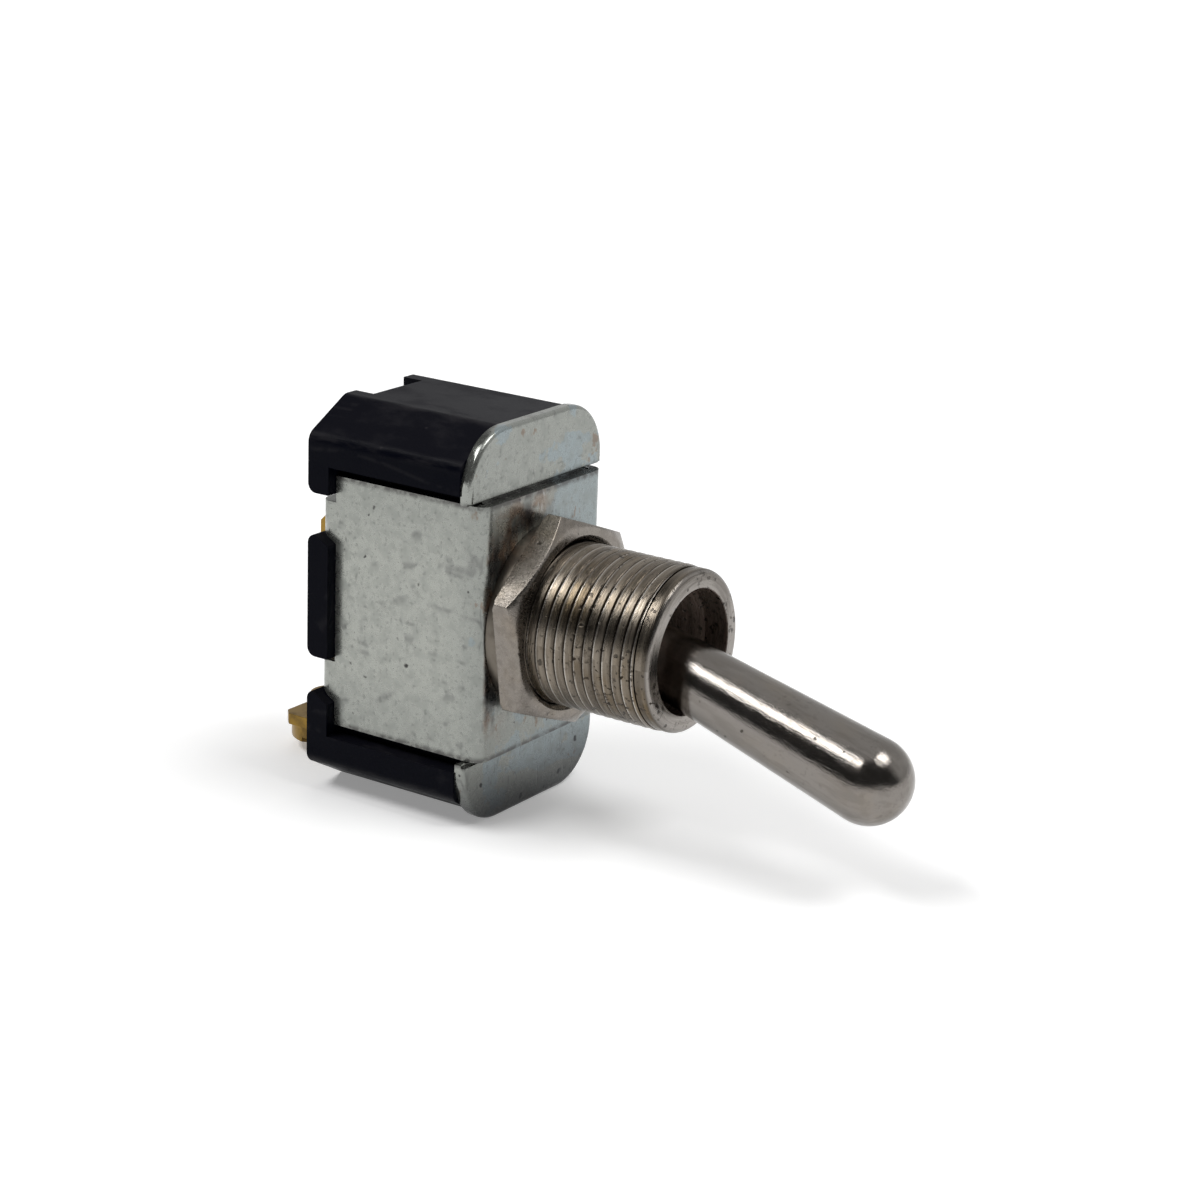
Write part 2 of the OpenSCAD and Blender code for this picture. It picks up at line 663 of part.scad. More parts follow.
module plunger_spring() {
    sides = 6;
    steps = spring_turns * 14;
    start = tail_reach - tail_bore + run_gap;
    len = plunger_reach - plunger_len - run_gap - start;
    r = plunger_d / 2 - spring_wire / 2 - run_gap;
    points = [for (i = [0 : steps], j = [0 : sides - 1]) coil_point(i, j, steps, sides, r, len)];
    walls = [for (i = [0 : steps - 1], j = [0 : sides - 1]) let (k = (j + 1) % sides)
        [i * sides + j, i * sides + k, (i + 1) * sides + k, (i + 1) * sides + j]];
    ends = [[for (j = [sides - 1 : -1 : 0]) j], [for (j = [0 : sides - 1]) steps * sides + j]];
    color("lightsteelblue")
    at_lever() translate([0, start, 0]) polyhedron(points, concat(walls, ends), convexity = 8);
}

// ---- Rocker ----

// The rocker seen from the side, drawn in forward and up: dish, contact arm and saddle
module rocker_outline() {
    half = asin(dish_u / dish_r);
    mid = [apex + path_r, 0];
    reach = dish_r + rocker_t + 1;
    intersection() {
        difference() {
            translate(mid) circle(dish_r + rocker_t, $fn = bore_fn);
            translate(mid) circle(dish_r, $fn = bore_fn);
        }
        translate(mid) polygon([[0, 0], [-reach, -reach * tan(half)], [-reach, reach * tan(half)]]);
    }
    translate([arm_rear, -arm_end]) square([rocker_t, arm_end - dish_u + rocker_t / 2]);
    difference() {
        translate([-saddle_r / 3, -saddle_r - ear_rim])
            square([saddle_r * 4 / 3 + rocker_t / 2, 2 * (saddle_r + ear_rim)]);
        circle(saddle_r);
        translate([-saddle_r, -saddle_r]) square([saddle_r, 2 * saddle_r]);
    }
}

module rocker() {
    color("#b8923a")
    at_rocker() difference() {
        mirror([0, 1, 0]) across(rocker_w) rocker_outline();
        translate([0, -arm_rear, -contact_arm]) forward(rocker_t)
            cylinder(d = contact_d / 2 + 2 * seat_gap, h = 3 * rocker_t);
    }
}

// A crowned contact button on its shank: the button's back at the origin, its face towards +Z
module contact_button(shank) {
    ball_r = (pow(contact_d / 2, 2) + pow(contact_crown, 2)) / (2 * contact_crown);
    intersection() {
        cylinder(d = contact_d, h = contact_t);
        translate([0, 0, contact_t - ball_r]) sphere(ball_r);
    }
    translate([0, 0, -shank]) cylinder(d = contact_d / 2, h = shank + eps);
}

module moving_contact() {
    color("whitesmoke")
    at_rocker() translate([0, -arm_rear + seat_gap, -contact_arm])
        rotate([-90, 0, 0]) contact_button(rocker_t);
}

module fulcrum_pin() {
    color("slategray")
    translate([0, fulcrum_y, 0]) x_cylinder(fulcrum_d, foot_w);
}

// ---- Terminals ----

function common_rivet_at() = [rivet_head_d / 2 + rivet_edge - foot_w / 2,
                              rivet_head_d / 2 + rivet_edge - strip_w / 2];
function load_rivet_at() = [0, load_rivet_z];

// A blade's outline with cut corners, from y0 to the terminal's end
module blade_outline(y0) {
    w = strip_w / 2;
    c = terminal_cut;
    polygon([[-w, y0], [w, y0], [w, terminal_end - c], [w - c, terminal_end],
             [-w + c, terminal_end], [-w, terminal_end - c]]);
}

module common_terminal() {
    ear_r = fulcrum_d / 2 + ear_rim;
    color("#b08d3c")
    difference() {
        union() {
            slab(strip_front, floor_y) square([foot_w, strip_w], center = true);
            translate([common_x, 0, 0]) rotate([0, 90, 0]) linear_extrude(strip_t)
                blade_outline(strip_front);
            both_sides() translate([ear_x, fulcrum_y, 0]) {
                x_cylinder(2 * ear_r, ear_t);
                translate([-ear_t / 2, 0, -ear_r]) cube([ear_t, strip_front - fulcrum_y + eps, 2 * ear_r]);
            }
        }
        translate([0, fulcrum_y, 0]) x_cylinder(fulcrum_d + 2 * seat_gap, foot_w + 2);
        translate([common_x, screw_y, 0]) x_cylinder(screw_d + 2 * seat_gap, 4 * strip_t);
        translate([common_rivet_at()[0], 0, common_rivet_at()[1]])
            forward(floor_y + 1) cylinder(d = rivet_d + 2 * seat_gap, h = strip_t + 2);
    }
}

module load_terminal() {
    foot_top = contact_d / 2 + rivet_edge - contact_arm;
    color("#b08d3c")
    difference() {
        union() {
            translate([-strip_w / 2, strip_front, load_z - strip_t])
                cube([strip_w, strip_t, foot_top - load_z + strip_t]);
            translate([0, 0, load_z - strip_t]) linear_extrude(strip_t) blade_outline(strip_front);
        }
        translate([0, screw_y, load_z - 2 * strip_t])
            cylinder(d = screw_d + 2 * seat_gap, h = 3 * strip_t);
        translate([0, 0, load_rivet_z])
            forward(floor_y + 1) cylinder(d = rivet_d + 2 * seat_gap, h = strip_t + 2);
        translate([0, 0, -contact_arm])
            forward(floor_y + 1) cylinder(d = contact_d / 2 + 2 * seat_gap, h = strip_t + 2);
    }
}

// A slotted binding-head screw: its shank along +Z from the head's underside, its head below
module binding_screw() {
    ball_r = (pow(screw_head_d / 2, 2) + pow(screw_crown, 2)) / (2 * screw_crown);
    difference() {
        union() {
            cylinder(d = screw_d, h = screw_len);
            translate([0, 0, -screw_head_h]) intersection() {
                cylinder(d = screw_head_d, h = screw_head_h);
                translate([0, 0, ball_r]) sphere(ball_r);
            }
        }
        translate([-screw_head_d / 2 - 1, -screw_slot / 2, -screw_head_h - eps])
            cube([screw_head_d + 2, screw_slot, screw_head_h / 2 + eps]);
    }
}

module common_screw() {
    color("#c09a45")
    translate([common_x + strip_t + seat_gap, screw_y, 0]) rotate([0, -90, 0]) binding_screw();
}

module load_screw() {
    color("#c09a45")
    translate([0, screw_y, load_z - strip_t - seat_gap]) binding_screw();
}

// A tubular rivet through a terminal's foot and the rear wall
module rivet(at) {
    grip = strip_t + rear_wall;
    translate([at[0], 0, at[1]]) {
        forward(case_rear) cylinder(d = rivet_d, h = grip);
        forward(strip_front) cylinder(d = rivet_head_d, h = rivet_head_h);
        forward(case_rear + rivet_head_h) cylinder(d = rivet_head_d, h = rivet_head_h);
    }
}

module common_rivet() color("darkgoldenrod") rivet(common_rivet_at());

module load_rivet() color("darkgoldenrod") rivet(load_rivet_at());

module fixed_contact() {
    color("whitesmoke")
    translate([0, 0, -contact_arm]) forward(strip_front) contact_button(strip_t);
}

frame();
face_plate();
case();
insulator();
bushing();
pivot_pin();
pivot_sleeve();
lock_washer();
hex_nut();
lever();
plunger_spring();
plunger();
rocker();
moving_contact();
fulcrum_pin();
common_terminal();
common_screw();
common_rivet();
load_terminal();
load_screw();
load_rivet();
fixed_contact();
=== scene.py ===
"""Panel toggle switch: its dressed pieces, finishes, studio and camera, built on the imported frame."""

import json
import logging
import math
from dataclasses import dataclass, field
from enum import Enum

import bmesh
import bpy
from mathutils import Matrix, Vector

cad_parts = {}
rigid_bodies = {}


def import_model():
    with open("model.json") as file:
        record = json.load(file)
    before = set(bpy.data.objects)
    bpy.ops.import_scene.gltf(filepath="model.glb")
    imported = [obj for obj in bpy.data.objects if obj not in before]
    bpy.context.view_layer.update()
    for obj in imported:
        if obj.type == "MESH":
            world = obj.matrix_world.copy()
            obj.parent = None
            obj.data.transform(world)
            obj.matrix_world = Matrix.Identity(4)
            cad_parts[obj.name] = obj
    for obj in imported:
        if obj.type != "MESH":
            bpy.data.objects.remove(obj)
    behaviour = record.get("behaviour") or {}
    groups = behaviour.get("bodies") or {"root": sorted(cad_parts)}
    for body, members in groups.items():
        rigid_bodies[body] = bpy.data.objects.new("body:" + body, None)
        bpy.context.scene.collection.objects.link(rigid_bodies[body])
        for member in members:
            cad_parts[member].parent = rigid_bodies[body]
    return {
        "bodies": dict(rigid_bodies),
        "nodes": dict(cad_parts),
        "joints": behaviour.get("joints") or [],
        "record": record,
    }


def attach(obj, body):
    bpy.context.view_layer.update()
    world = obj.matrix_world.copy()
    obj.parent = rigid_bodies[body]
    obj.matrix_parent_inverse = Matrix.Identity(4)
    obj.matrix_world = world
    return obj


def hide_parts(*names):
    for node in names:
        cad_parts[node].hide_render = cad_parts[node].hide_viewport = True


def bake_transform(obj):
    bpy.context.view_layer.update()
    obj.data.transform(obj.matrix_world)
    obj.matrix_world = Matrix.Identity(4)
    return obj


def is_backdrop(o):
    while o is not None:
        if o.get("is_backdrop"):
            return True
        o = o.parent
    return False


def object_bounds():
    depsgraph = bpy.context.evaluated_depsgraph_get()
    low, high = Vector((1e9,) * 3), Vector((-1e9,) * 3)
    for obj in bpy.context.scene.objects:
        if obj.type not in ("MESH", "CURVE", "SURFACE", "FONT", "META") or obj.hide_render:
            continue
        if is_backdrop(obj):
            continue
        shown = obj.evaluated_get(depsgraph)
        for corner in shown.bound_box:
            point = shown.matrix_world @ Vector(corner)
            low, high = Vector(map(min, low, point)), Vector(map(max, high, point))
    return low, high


MM = 0.001
LOG = logging.getLogger("toggle_switch")

Socket = bpy.types.NodeSocket
Tree = bpy.types.NodeTree
Node = bpy.types.Node
Material = bpy.types.Material
Piece = bpy.types.Object
Mesh = bmesh.types.BMesh
Point = tuple[float, float]
Triple = tuple[float, float, float]
Colour = Triple


class Lay(Enum):
    """Which way the fine brushing of a metal runs."""

    ROUND = "round the bushing's axis"
    UPRIGHT = "up the switch"
    NONE = "no direction"


# ---------------------------------------------------------------------------
# Shader graphs
# ---------------------------------------------------------------------------


class Graph:
    """A node tree with short calls to add nodes and join their sockets."""

    def __init__(self, tree: Tree) -> None:
        """Keeps the tree.

        Args:
            tree: The node tree to add to.
        """
        self.tree = tree

    def add(self, kind: str, **settings: object) -> Node:
        """Adds a node.

        Args:
            kind: The node's type name without its ShaderNode prefix.
            **settings: Properties to set on the node.

        Returns:
            The new node.
        """
        node = self.tree.nodes.new("ShaderNode" + kind)
        for name, value in settings.items():
            setattr(node, name, value)
        return node

    def put(self, socket: Socket, value: object) -> None:
        """Links a socket, or sets its plain value.

        Args:
            socket: The input socket.
            value: An output socket, a number, or a colour or vector.
        """
        if isinstance(value, Socket):
            self.tree.links.new(value, socket)
        elif isinstance(value, tuple) and len(value) == 3 and socket.type == "RGBA":
            socket.default_value = (*value, 1.0)
        else:
            socket.default_value = value

    def maths(self, operation: str, *values: object, clamp: bool = False) -> Socket:
        """Adds a Math node.

        Args:
            operation: The Math node's operation.
            *values: Its inputs in order.
            clamp: Whether the result is kept within 0 and 1.

        Returns:
            The node's output.
        """
        node = self.add("Math", operation=operation, use_clamp=clamp)
        for socket, value in zip(node.inputs, values):
            self.put(socket, value)
        return node.outputs[0]

    def times(self, product: object, *others: object) -> Socket:
        """Multiplies values.

        Args:
            product: The first value.
            *others: What it is multiplied by, in order.

        Returns:
            The product.
        """
        for other in others:
            product = self.maths("MULTIPLY", product, other)
        return product

    def radius(self, first: object, second: object) -> Socket:
        """The distance from an axis.

        Args:
            first: The first coordinate across the axis.
            second: The second one.

        Returns:
            The distance.
        """
        squares = self.maths("ADD", self.times(first, first), self.times(second, second))
        return self.maths("SQRT", squares)

    def layered(self, tone: object, *layers: tuple[object, float, Colour]) -> Socket:
        """Lays colours over a colour.

        Args:
            tone: The colour underneath.
            *layers: Each layer's mask, its share and its colour, from the lowest up.

        Returns:
            The colour that shows.
        """
        for mask, share, colour in layers:
            tone = self.mix(self.times(mask, share), tone, colour)
        return tone

    def ramp(self, value: object, low: float, high: float, out_low: float = 0.0,
             out_high: float = 1.0) -> Socket:
        """Maps a value from one range to another, smoothly and clamped.

        Args:
            value: The value to map.
            low: Start of the range read.
            high: End of the range read.
            out_low: Result at the start.
            out_high: Result at the end.

        Returns:
            The mapped value.
        """
        node = self.add("MapRange", interpolation_type="SMOOTHSTEP")
        for socket, given in zip(node.inputs, (value, low, high, out_low, out_high)):
            self.put(socket, given)
        return node.outputs[0]

    def mix(self, factor: object, first: object, second: object) -> Socket:
        """Mixes two colours.

        Args:
            factor: Share of the second colour.
            first: The first colour.
            second: The second colour.

        Returns:
            The mixed colour.
        """
        node = self.add("Mix", data_type="RGBA")
        self.put(node.inputs[0], factor)
        self.put(node.inputs[6], first)
        self.put(node.inputs[7], second)
        return node.outputs[2]

    def split(self, vector: object) -> list[Socket]:
        """Splits a vector.

        Args:
            vector: The vector to split.

        Returns:
            Its three coordinates.
        """
        node = self.add("SeparateXYZ")
        self.put(node.inputs[0], vector)
        return list(node.outputs)

    def noise(self, vector: object, scale: object, detail: float = 2.0, roughness: float = 0.5) -> Node:
        """Adds layered noise.

        Args:
            vector: The coordinates that it reads.
            scale: How fine it is.
            detail: How many layers it has.
            roughness: How strong the finer layers are.

        Returns:
            The noise node.
        """
        node = self.add("TexNoise")
        for label, value in (("Vector", vector), ("Scale", scale), ("Detail", detail),
                             ("Roughness", roughness)):
            self.put(node.inputs[label], value)
        return node

    def stretched(self, vector: object, scale: Triple,
                  turn: Triple = (0.0, 0.0, 0.0)) -> Socket:
        """Turns and scales a vector.

        Args:
            vector: The vector to change.
            scale: Scale along each axis.
            turn: Angles about each axis, in radians.

        Returns:
            The changed vector.
        """
        node = self.add("Mapping")
        self.put(node.inputs["Vector"], vector)
        node.inputs["Scale"].default_value = scale
        node.inputs["Rotation"].default_value = turn
        return node.outputs[0]


def new_group(name: str, inputs: dict[str, float], output: str) -> tuple[Tree, Graph, Node, Node]:
    """Makes an empty shader group with a Vector input, float inputs and one float output.

    Args:
        name: The group's name.
        inputs: Names and default values of its float inputs.
        output: Its output's name.

    Returns:
        The group, its graph, and its input and output nodes.
    """
    tree = bpy.data.node_groups.new(name, "ShaderNodeTree")
    tree.interface.new_socket("Vector", in_out="INPUT", socket_type="NodeSocketVector")
    for label, value in inputs.items():
        socket = tree.interface.new_socket(label, in_out="INPUT", socket_type="NodeSocketFloat")
        socket.default_value = value
    tree.interface.new_socket(output, in_out="OUTPUT", socket_type="NodeSocketFloat")
    return tree, Graph(tree), tree.nodes.new("NodeGroupInput"), tree.nodes.new("NodeGroupOutput")


class Effects:
    """The effects that several finishes share, each a shader group built once."""

    def __init__(self) -> None:
        """Builds the groups."""
        self.blotches = self._blotches()
        self.specks = self._specks()
        self.scratches = self._scratches()
        self.brushing = self._brushing()

    def _blotches(self) -> Tree:
        """Soft-edged patches from layered noise.

        Returns:
            The group.
        """
        tree, graph, given, out = new_group(
            "soft_blotches", {"Scale": 300.0, "Low": 0.45, "High": 0.6}, "Mask")
        noise = graph.noise(given.outputs["Vector"], given.outputs["Scale"], 5.0, 0.6)
        spread = graph.add("MapRange", interpolation_type="SMOOTHSTEP")
        graph.put(spread.inputs["Value"], noise.outputs[0])
        graph.put(spread.inputs["From Min"], given.outputs["Low"])
        graph.put(spread.inputs["From Max"], given.outputs["High"])
        graph.put(out.inputs["Mask"], spread.outputs[0])
        return tree

    def _specks(self) -> Tree:
        """Small scattered spots of uneven size.

        Returns:
            The group.
        """
        tree, graph, given, out = new_group(
            "fine_specks", {"Scale": 1500.0, "Size": 0.2, "Share": 0.3}, "Mask")
        wobble = graph.noise(given.outputs["Vector"], graph.times(given.outputs["Scale"], 2.0))
        shift = graph.add("VectorMath", operation="MULTIPLY_ADD")
        graph.put(shift.inputs[0], wobble.outputs["Color"])
        shift.inputs[1].default_value = (0.0004, 0.0004, 0.0004)
        graph.put(shift.inputs[2], given.outputs["Vector"])
        cells = graph.add("TexVoronoi")
        graph.put(cells.inputs["Vector"], shift.outputs[0])
        graph.put(cells.inputs["Scale"], given.outputs["Scale"])
        chance = graph.add("SeparateColor")
        graph.put(chance.inputs[0], cells.outputs["Color"])
        chosen = graph.maths("LESS_THAN", chance.outputs[0], given.outputs["Share"])
        reach = graph.times(given.outputs["Size"], graph.maths("ADD", chance.outputs[1], 0.35))
        share = graph.maths("DIVIDE", cells.outputs["Distance"], reach)
        inside = graph.maths("SUBTRACT", 1.0, share, clamp=True)
        graph.put(out.inputs["Mask"], graph.times(chosen, graph.ramp(inside, 0.0, 0.45)))
        return tree

    def _scratches(self) -> Tree:
        """Fine broken scratches that run in two directions.

        Returns:
            The group.
        """
        tree, graph, given, out = new_group(
            "fine_scratches", {"Scale": 500.0, "Amount": 0.5}, "Mask")
        masks = []
        for turn in ((0.3, 0.5, 0.2), (1.1, 0.2, 1.3)):
            drawn = graph.stretched(given.outputs["Vector"], (1.0, 0.06, 0.25), turn)
            noise = graph.noise(drawn, given.outputs["Scale"])
            line = graph.maths("ABSOLUTE", graph.maths("SUBTRACT", noise.outputs[0], 0.5))
            masks.append(graph.ramp(line, 0.0, 0.012, 1.0, 0.0))
        broken = graph.noise(given.outputs["Vector"], graph.times(given.outputs["Scale"], 1.3))
        both = graph.maths("MAXIMUM", masks[0], masks[1])
        some = graph.times(both, graph.ramp(broken.outputs[0], 0.5, 0.62))
        graph.put(out.inputs["Mask"], graph.times(some, given.outputs["Amount"]))
        return tree

    def _brushing(self) -> Tree:
        """Fine even grain, stretched by whoever places it.

        Returns:
            The group.
        """
        tree, graph, given, out = new_group("fine_brushing", {"Scale": 4000.0}, "Grain")
        noise = graph.noise(given.outputs["Vector"], given.outputs["Scale"], 4.0, 0.7)
        graph.put(out.inputs["Grain"], noise.outputs[0])
        return tree


# ---------------------------------------------------------------------------
# Finishes
# ---------------------------------------------------------------------------


@dataclass(frozen=True)
class Finish:
    """What every finish has: a name, the shared effects and a way to put it on a piece."""

    name: str
    effects: Effects

    def start(self) -> tuple[Material, Graph, Node, Socket]:
        """Starts the material.

        Returns:
            The material, its graph, its shader and the object coordinates.
        """
        material = bpy.data.materials.new(self.name)
        material.use_nodes = True
        graph = Graph(material.node_tree)
        shader = material.node_tree.nodes["Principled BSDF"]
        place = graph.add("TexCoord").outputs["Object"]
        return material, graph, shader, place

    def effect(self, graph: Graph, tree: Tree, vector: Socket, **values: object) -> Socket:
        """Places a shared effect.

        Args:
            graph: The material's graph.
            tree: The effect's group.
            vector: The coordinates that it reads.
            **values: Its own settings.

        Returns:
            The effect's first output.
        """
        node = graph.add("Group", node_tree=tree)
        graph.put(node.inputs["Vector"], vector)
        for label, value in values.items():
            graph.put(node.inputs[label], value)
        return node.outputs[0]

    def bump(self, graph: Graph, shader: Node, height: Socket, strength: float, depth: float) -> None:
        """Drives the shader's normal with a height.

        Args:
            graph: The material's graph.
            shader: The material's shader.
            height: The height to use.
            strength: The bump's strength.
            depth: The bump's distance, in metres.
        """
        node = graph.add("Bump")
        node.inputs["Strength"].default_value = strength
        node.inputs["Distance"].default_value = depth
        graph.put(node.inputs["Height"], height)
        graph.put(shader.inputs["Normal"], node.outputs[0])

    def dress(self, *pieces: Piece) -> None:
        """Puts the finish on pieces.

        Args:
            *pieces: The objects to dress.
        """
        material = self.material()
        for piece in pieces:
            piece.data.materials.clear()
            piece.data.materials.append(material)

    def material(self) -> Material:
        """Builds the material once.

        Returns:
            The material.
        """
        return bpy.data.materials.get(self.name) or self.build()

    def build(self) -> Material:
        """Builds the material. Each finish has its own.

        Returns:
            The material.
        """
        raise NotImplementedError


@dataclass(frozen=True)
class ZincPlate(Finish):
    """Zinc plate on sheet steel: mottled sides, bluish front, painted shadow and painted reflection of
    the nut round it, and dirt with painted shade in the joints; painted shade also darkens the sides
    towards the front fold and the ends, and the plate towards its foot.
    """

    colour: Colour = (0.355, 0.365, 0.335)
    mottle: Colour = (0.25, 0.262, 0.245)
    blue: Colour = (0.3, 0.385, 0.435)
    # Colour of real stains, and also of the painted reflection of the nut.
    stain_and_reflection: Colour = (0.19, 0.125, 0.085)
    # Colour of the painted shadow of the nut on the plate round it.
    painted_nut_shadow: Colour = (0.022, 0.02, 0.022)
    # Colour of the dirt and painted shade in the joint between the frame and the cap plate.
    joint_dirt_and_shade: Colour = (0.06, 0.055, 0.055)
    fleck: Colour = (0.17, 0.175, 0.17)
    bare: Colour = (0.55, 0.57, 0.58)
    scratch: Colour = (0.11, 0.11, 0.11)
    speck: Colour = (0.03, 0.028, 0.028)
    # Colour of the painted shade at the plate's foot.
    shade: Colour = (0.03, 0.032, 0.036)
    front_mm: float = 1.0
    ring_mm: float = 8.6
    joint_mm: float = 9.45
    # Share of painted shade that darkens the plate towards its foot.
    foot_shade: float = 0.0
    rim_shine: float = 0.0
    roughness: float = 0.24

    def near(self, graph: Graph, distance: Socket, full_mm: float, none_mm: float) -> Socket:
        """A mask that is full within one distance and gone beyond another.

        Args:
            graph: The material's graph.
            distance: The distance, in metres.
            full_mm: Where the mask starts to fade.
            none_mm: Where it has gone.

        Returns:
            The mask.
        """
        return graph.ramp(distance, full_mm * MM, none_mm * MM, 1.0, 0.0)

    def nut_shadow_and_reflection(self, graph: Graph, place: Socket, axes: list[Socket]) -> tuple[Socket, Socket]:
        """Painted shadow and painted reflection of the nut on the plate round it, mostly on its upper
        left.

        Args:
            graph: The material's graph.
            place: The object coordinates.
            axes: The same coordinates split.

        Returns:
            The painted shadow's mask and the painted reflection's mask.
        """
        across, back, up = axes
        radius = graph.radius(across, up)
        side = graph.maths("SUBTRACT", graph.times(up, 0.35), across)
        flat = self.near(graph, back, 0.02, 0.2)
        left = graph.times(graph.ramp(side, 0.001, 0.005), flat)
        band = self.near(graph, radius, self.ring_mm - 0.2, self.ring_mm + 1.2)
        wide_band = self.near(graph, radius, self.ring_mm, self.ring_mm + 2.6)
        # Painted shadow of the nut, broken into patches.
        shadow_patches = self.effect(graph, self.effects.blotches,
                            graph.stretched(place, (1.0, 1.0, 0.35), (0.0, 0.9, 0.0)),
                            Scale=700.0, Low=0.46, High=0.6)
        # Painted reflection of the nut, broken into patches.
        rub = self.effect(graph, self.effects.blotches, place, Scale=420.0, Low=0.4, High=0.6)
        return graph.times(band, left, shadow_patches), graph.times(wide_band, left, rub)

    def build(self) -> Material:
        """Builds the plate.

        Returns:
            The material.
        """
        material, graph, shader, place = self.start()
        blotches, scratched = self.effects.blotches, self.effects.scratches
        axes = graph.split(place)
        across, back, up = axes
        front = self.near(graph, back, self.front_mm, self.front_mm + 0.3)
        height = graph.maths("ABSOLUTE", up)
        rightward = graph.times(graph.ramp(across, -0.004, 0.003),
                                self.near(graph, height, 11.6, 13.6))
        least = graph.ramp(rightward, 0.0, 1.0, 0.6, 0.41)
        patches = self.effect(graph, blotches, place, Scale=150.0, Low=least,
                              High=graph.maths("ADD", least, 0.02))
        cloud = self.effect(graph, blotches, place, Scale=1100.0, Low=0.35, High=0.72)
        flecks = self.effect(graph, blotches, place, Scale=3400.0, Low=0.55, High=0.66)
        stains = self.effect(graph, blotches, graph.stretched(place, (1.0, 1.0, 0.7), (0.4, 0.9, 0.2)),
                             Scale=520.0, Low=0.64, High=0.68)
        specks = self.effect(graph, self.effects.specks, place, Scale=1000.0, Size=0.2, Share=0.25)
        scratches = self.effect(graph, scratched, place, Scale=420.0, Amount=0.8)
        rubbed = self.effect(graph, scratched, place, Scale=700.0, Amount=1.0)
        nut_shadow_mask, nut_reflection_mask = self.nut_shadow_and_reflection(graph, place, axes)
        # Dirt and painted shade along the joint line between the frame and the cap plate.
        joint = graph.maths("ABSOLUTE", graph.maths("SUBTRACT", height, self.joint_mm * MM))
        grime = graph.times(self.near(graph, joint, 0.1, 0.5), graph.ramp(cloud, 0.0, 0.6, 0.5, 1.0))
        # Painted shade: the sides darken towards the front fold and towards both ends, standing in for
        # how the light falls across them.
        fold = graph.ramp(back, 0.0, 0.004, 0.65, 0.0)
        ends = graph.ramp(height, 0.0035, 0.0085, 0.0, 0.4)
        tone = graph.layered(
            self.colour,
            (patches, front, self.blue),
            (cloud, 0.4, self.mottle),
            # painted shade towards the fold and the ends, in the mottle colour
            (graph.maths("MAXIMUM", fold, ends), 1.0, self.mottle),
            (flecks, 0.3, self.fleck),
            (graph.times(stains, front), 0.6, self.stain_and_reflection),
            # painted reflection of the nut
            (graph.times(nut_reflection_mask, front), 0.9, self.stain_and_reflection),
            # painted shadow of the nut
            (nut_shadow_mask, 0.75, self.painted_nut_shadow),
            (graph.times(rubbed, nut_reflection_mask), 0.8, self.bare),
            # joint dirt and painted shade
            (grime, 0.75, self.joint_dirt_and_shade),
            (scratches, 0.5, self.scratch),
            (specks, 0.9, self.speck),
        )
        # Painted shade: the plate darkens towards its foot, standing in for the shadowed floor that it
        # reflects.
        if self.foot_shade:
            low = graph.ramp(up, -0.0146, -0.009, self.foot_shade, 0.0)
            tone = graph.mix(low, tone, self.shade)
        graph.put(shader.inputs["Base Color"], tone)
        shader.inputs["Metallic"].default_value = 0.85
        rim = graph.ramp(back, (self.front_mm - 0.4) * MM, (self.front_mm - 0.2) * MM,
                         0.0, self.rim_shine)
        rough = graph.maths("ADD", graph.ramp(cloud, 0.0, 1.0, self.roughness, self.roughness + 0.12),
                            graph.times(flecks, 0.15))
        graph.put(shader.inputs["Roughness"], graph.maths("SUBTRACT", rough, rim))
        grain = self.effect(graph, self.effects.brushing, place, Scale=2600.0)
        relief = graph.maths("SUBTRACT", graph.times(grain, 0.6), graph.times(scratches, 0.8))
        self.bump(graph, shader, relief, 0.35, 0.00004)
        return material


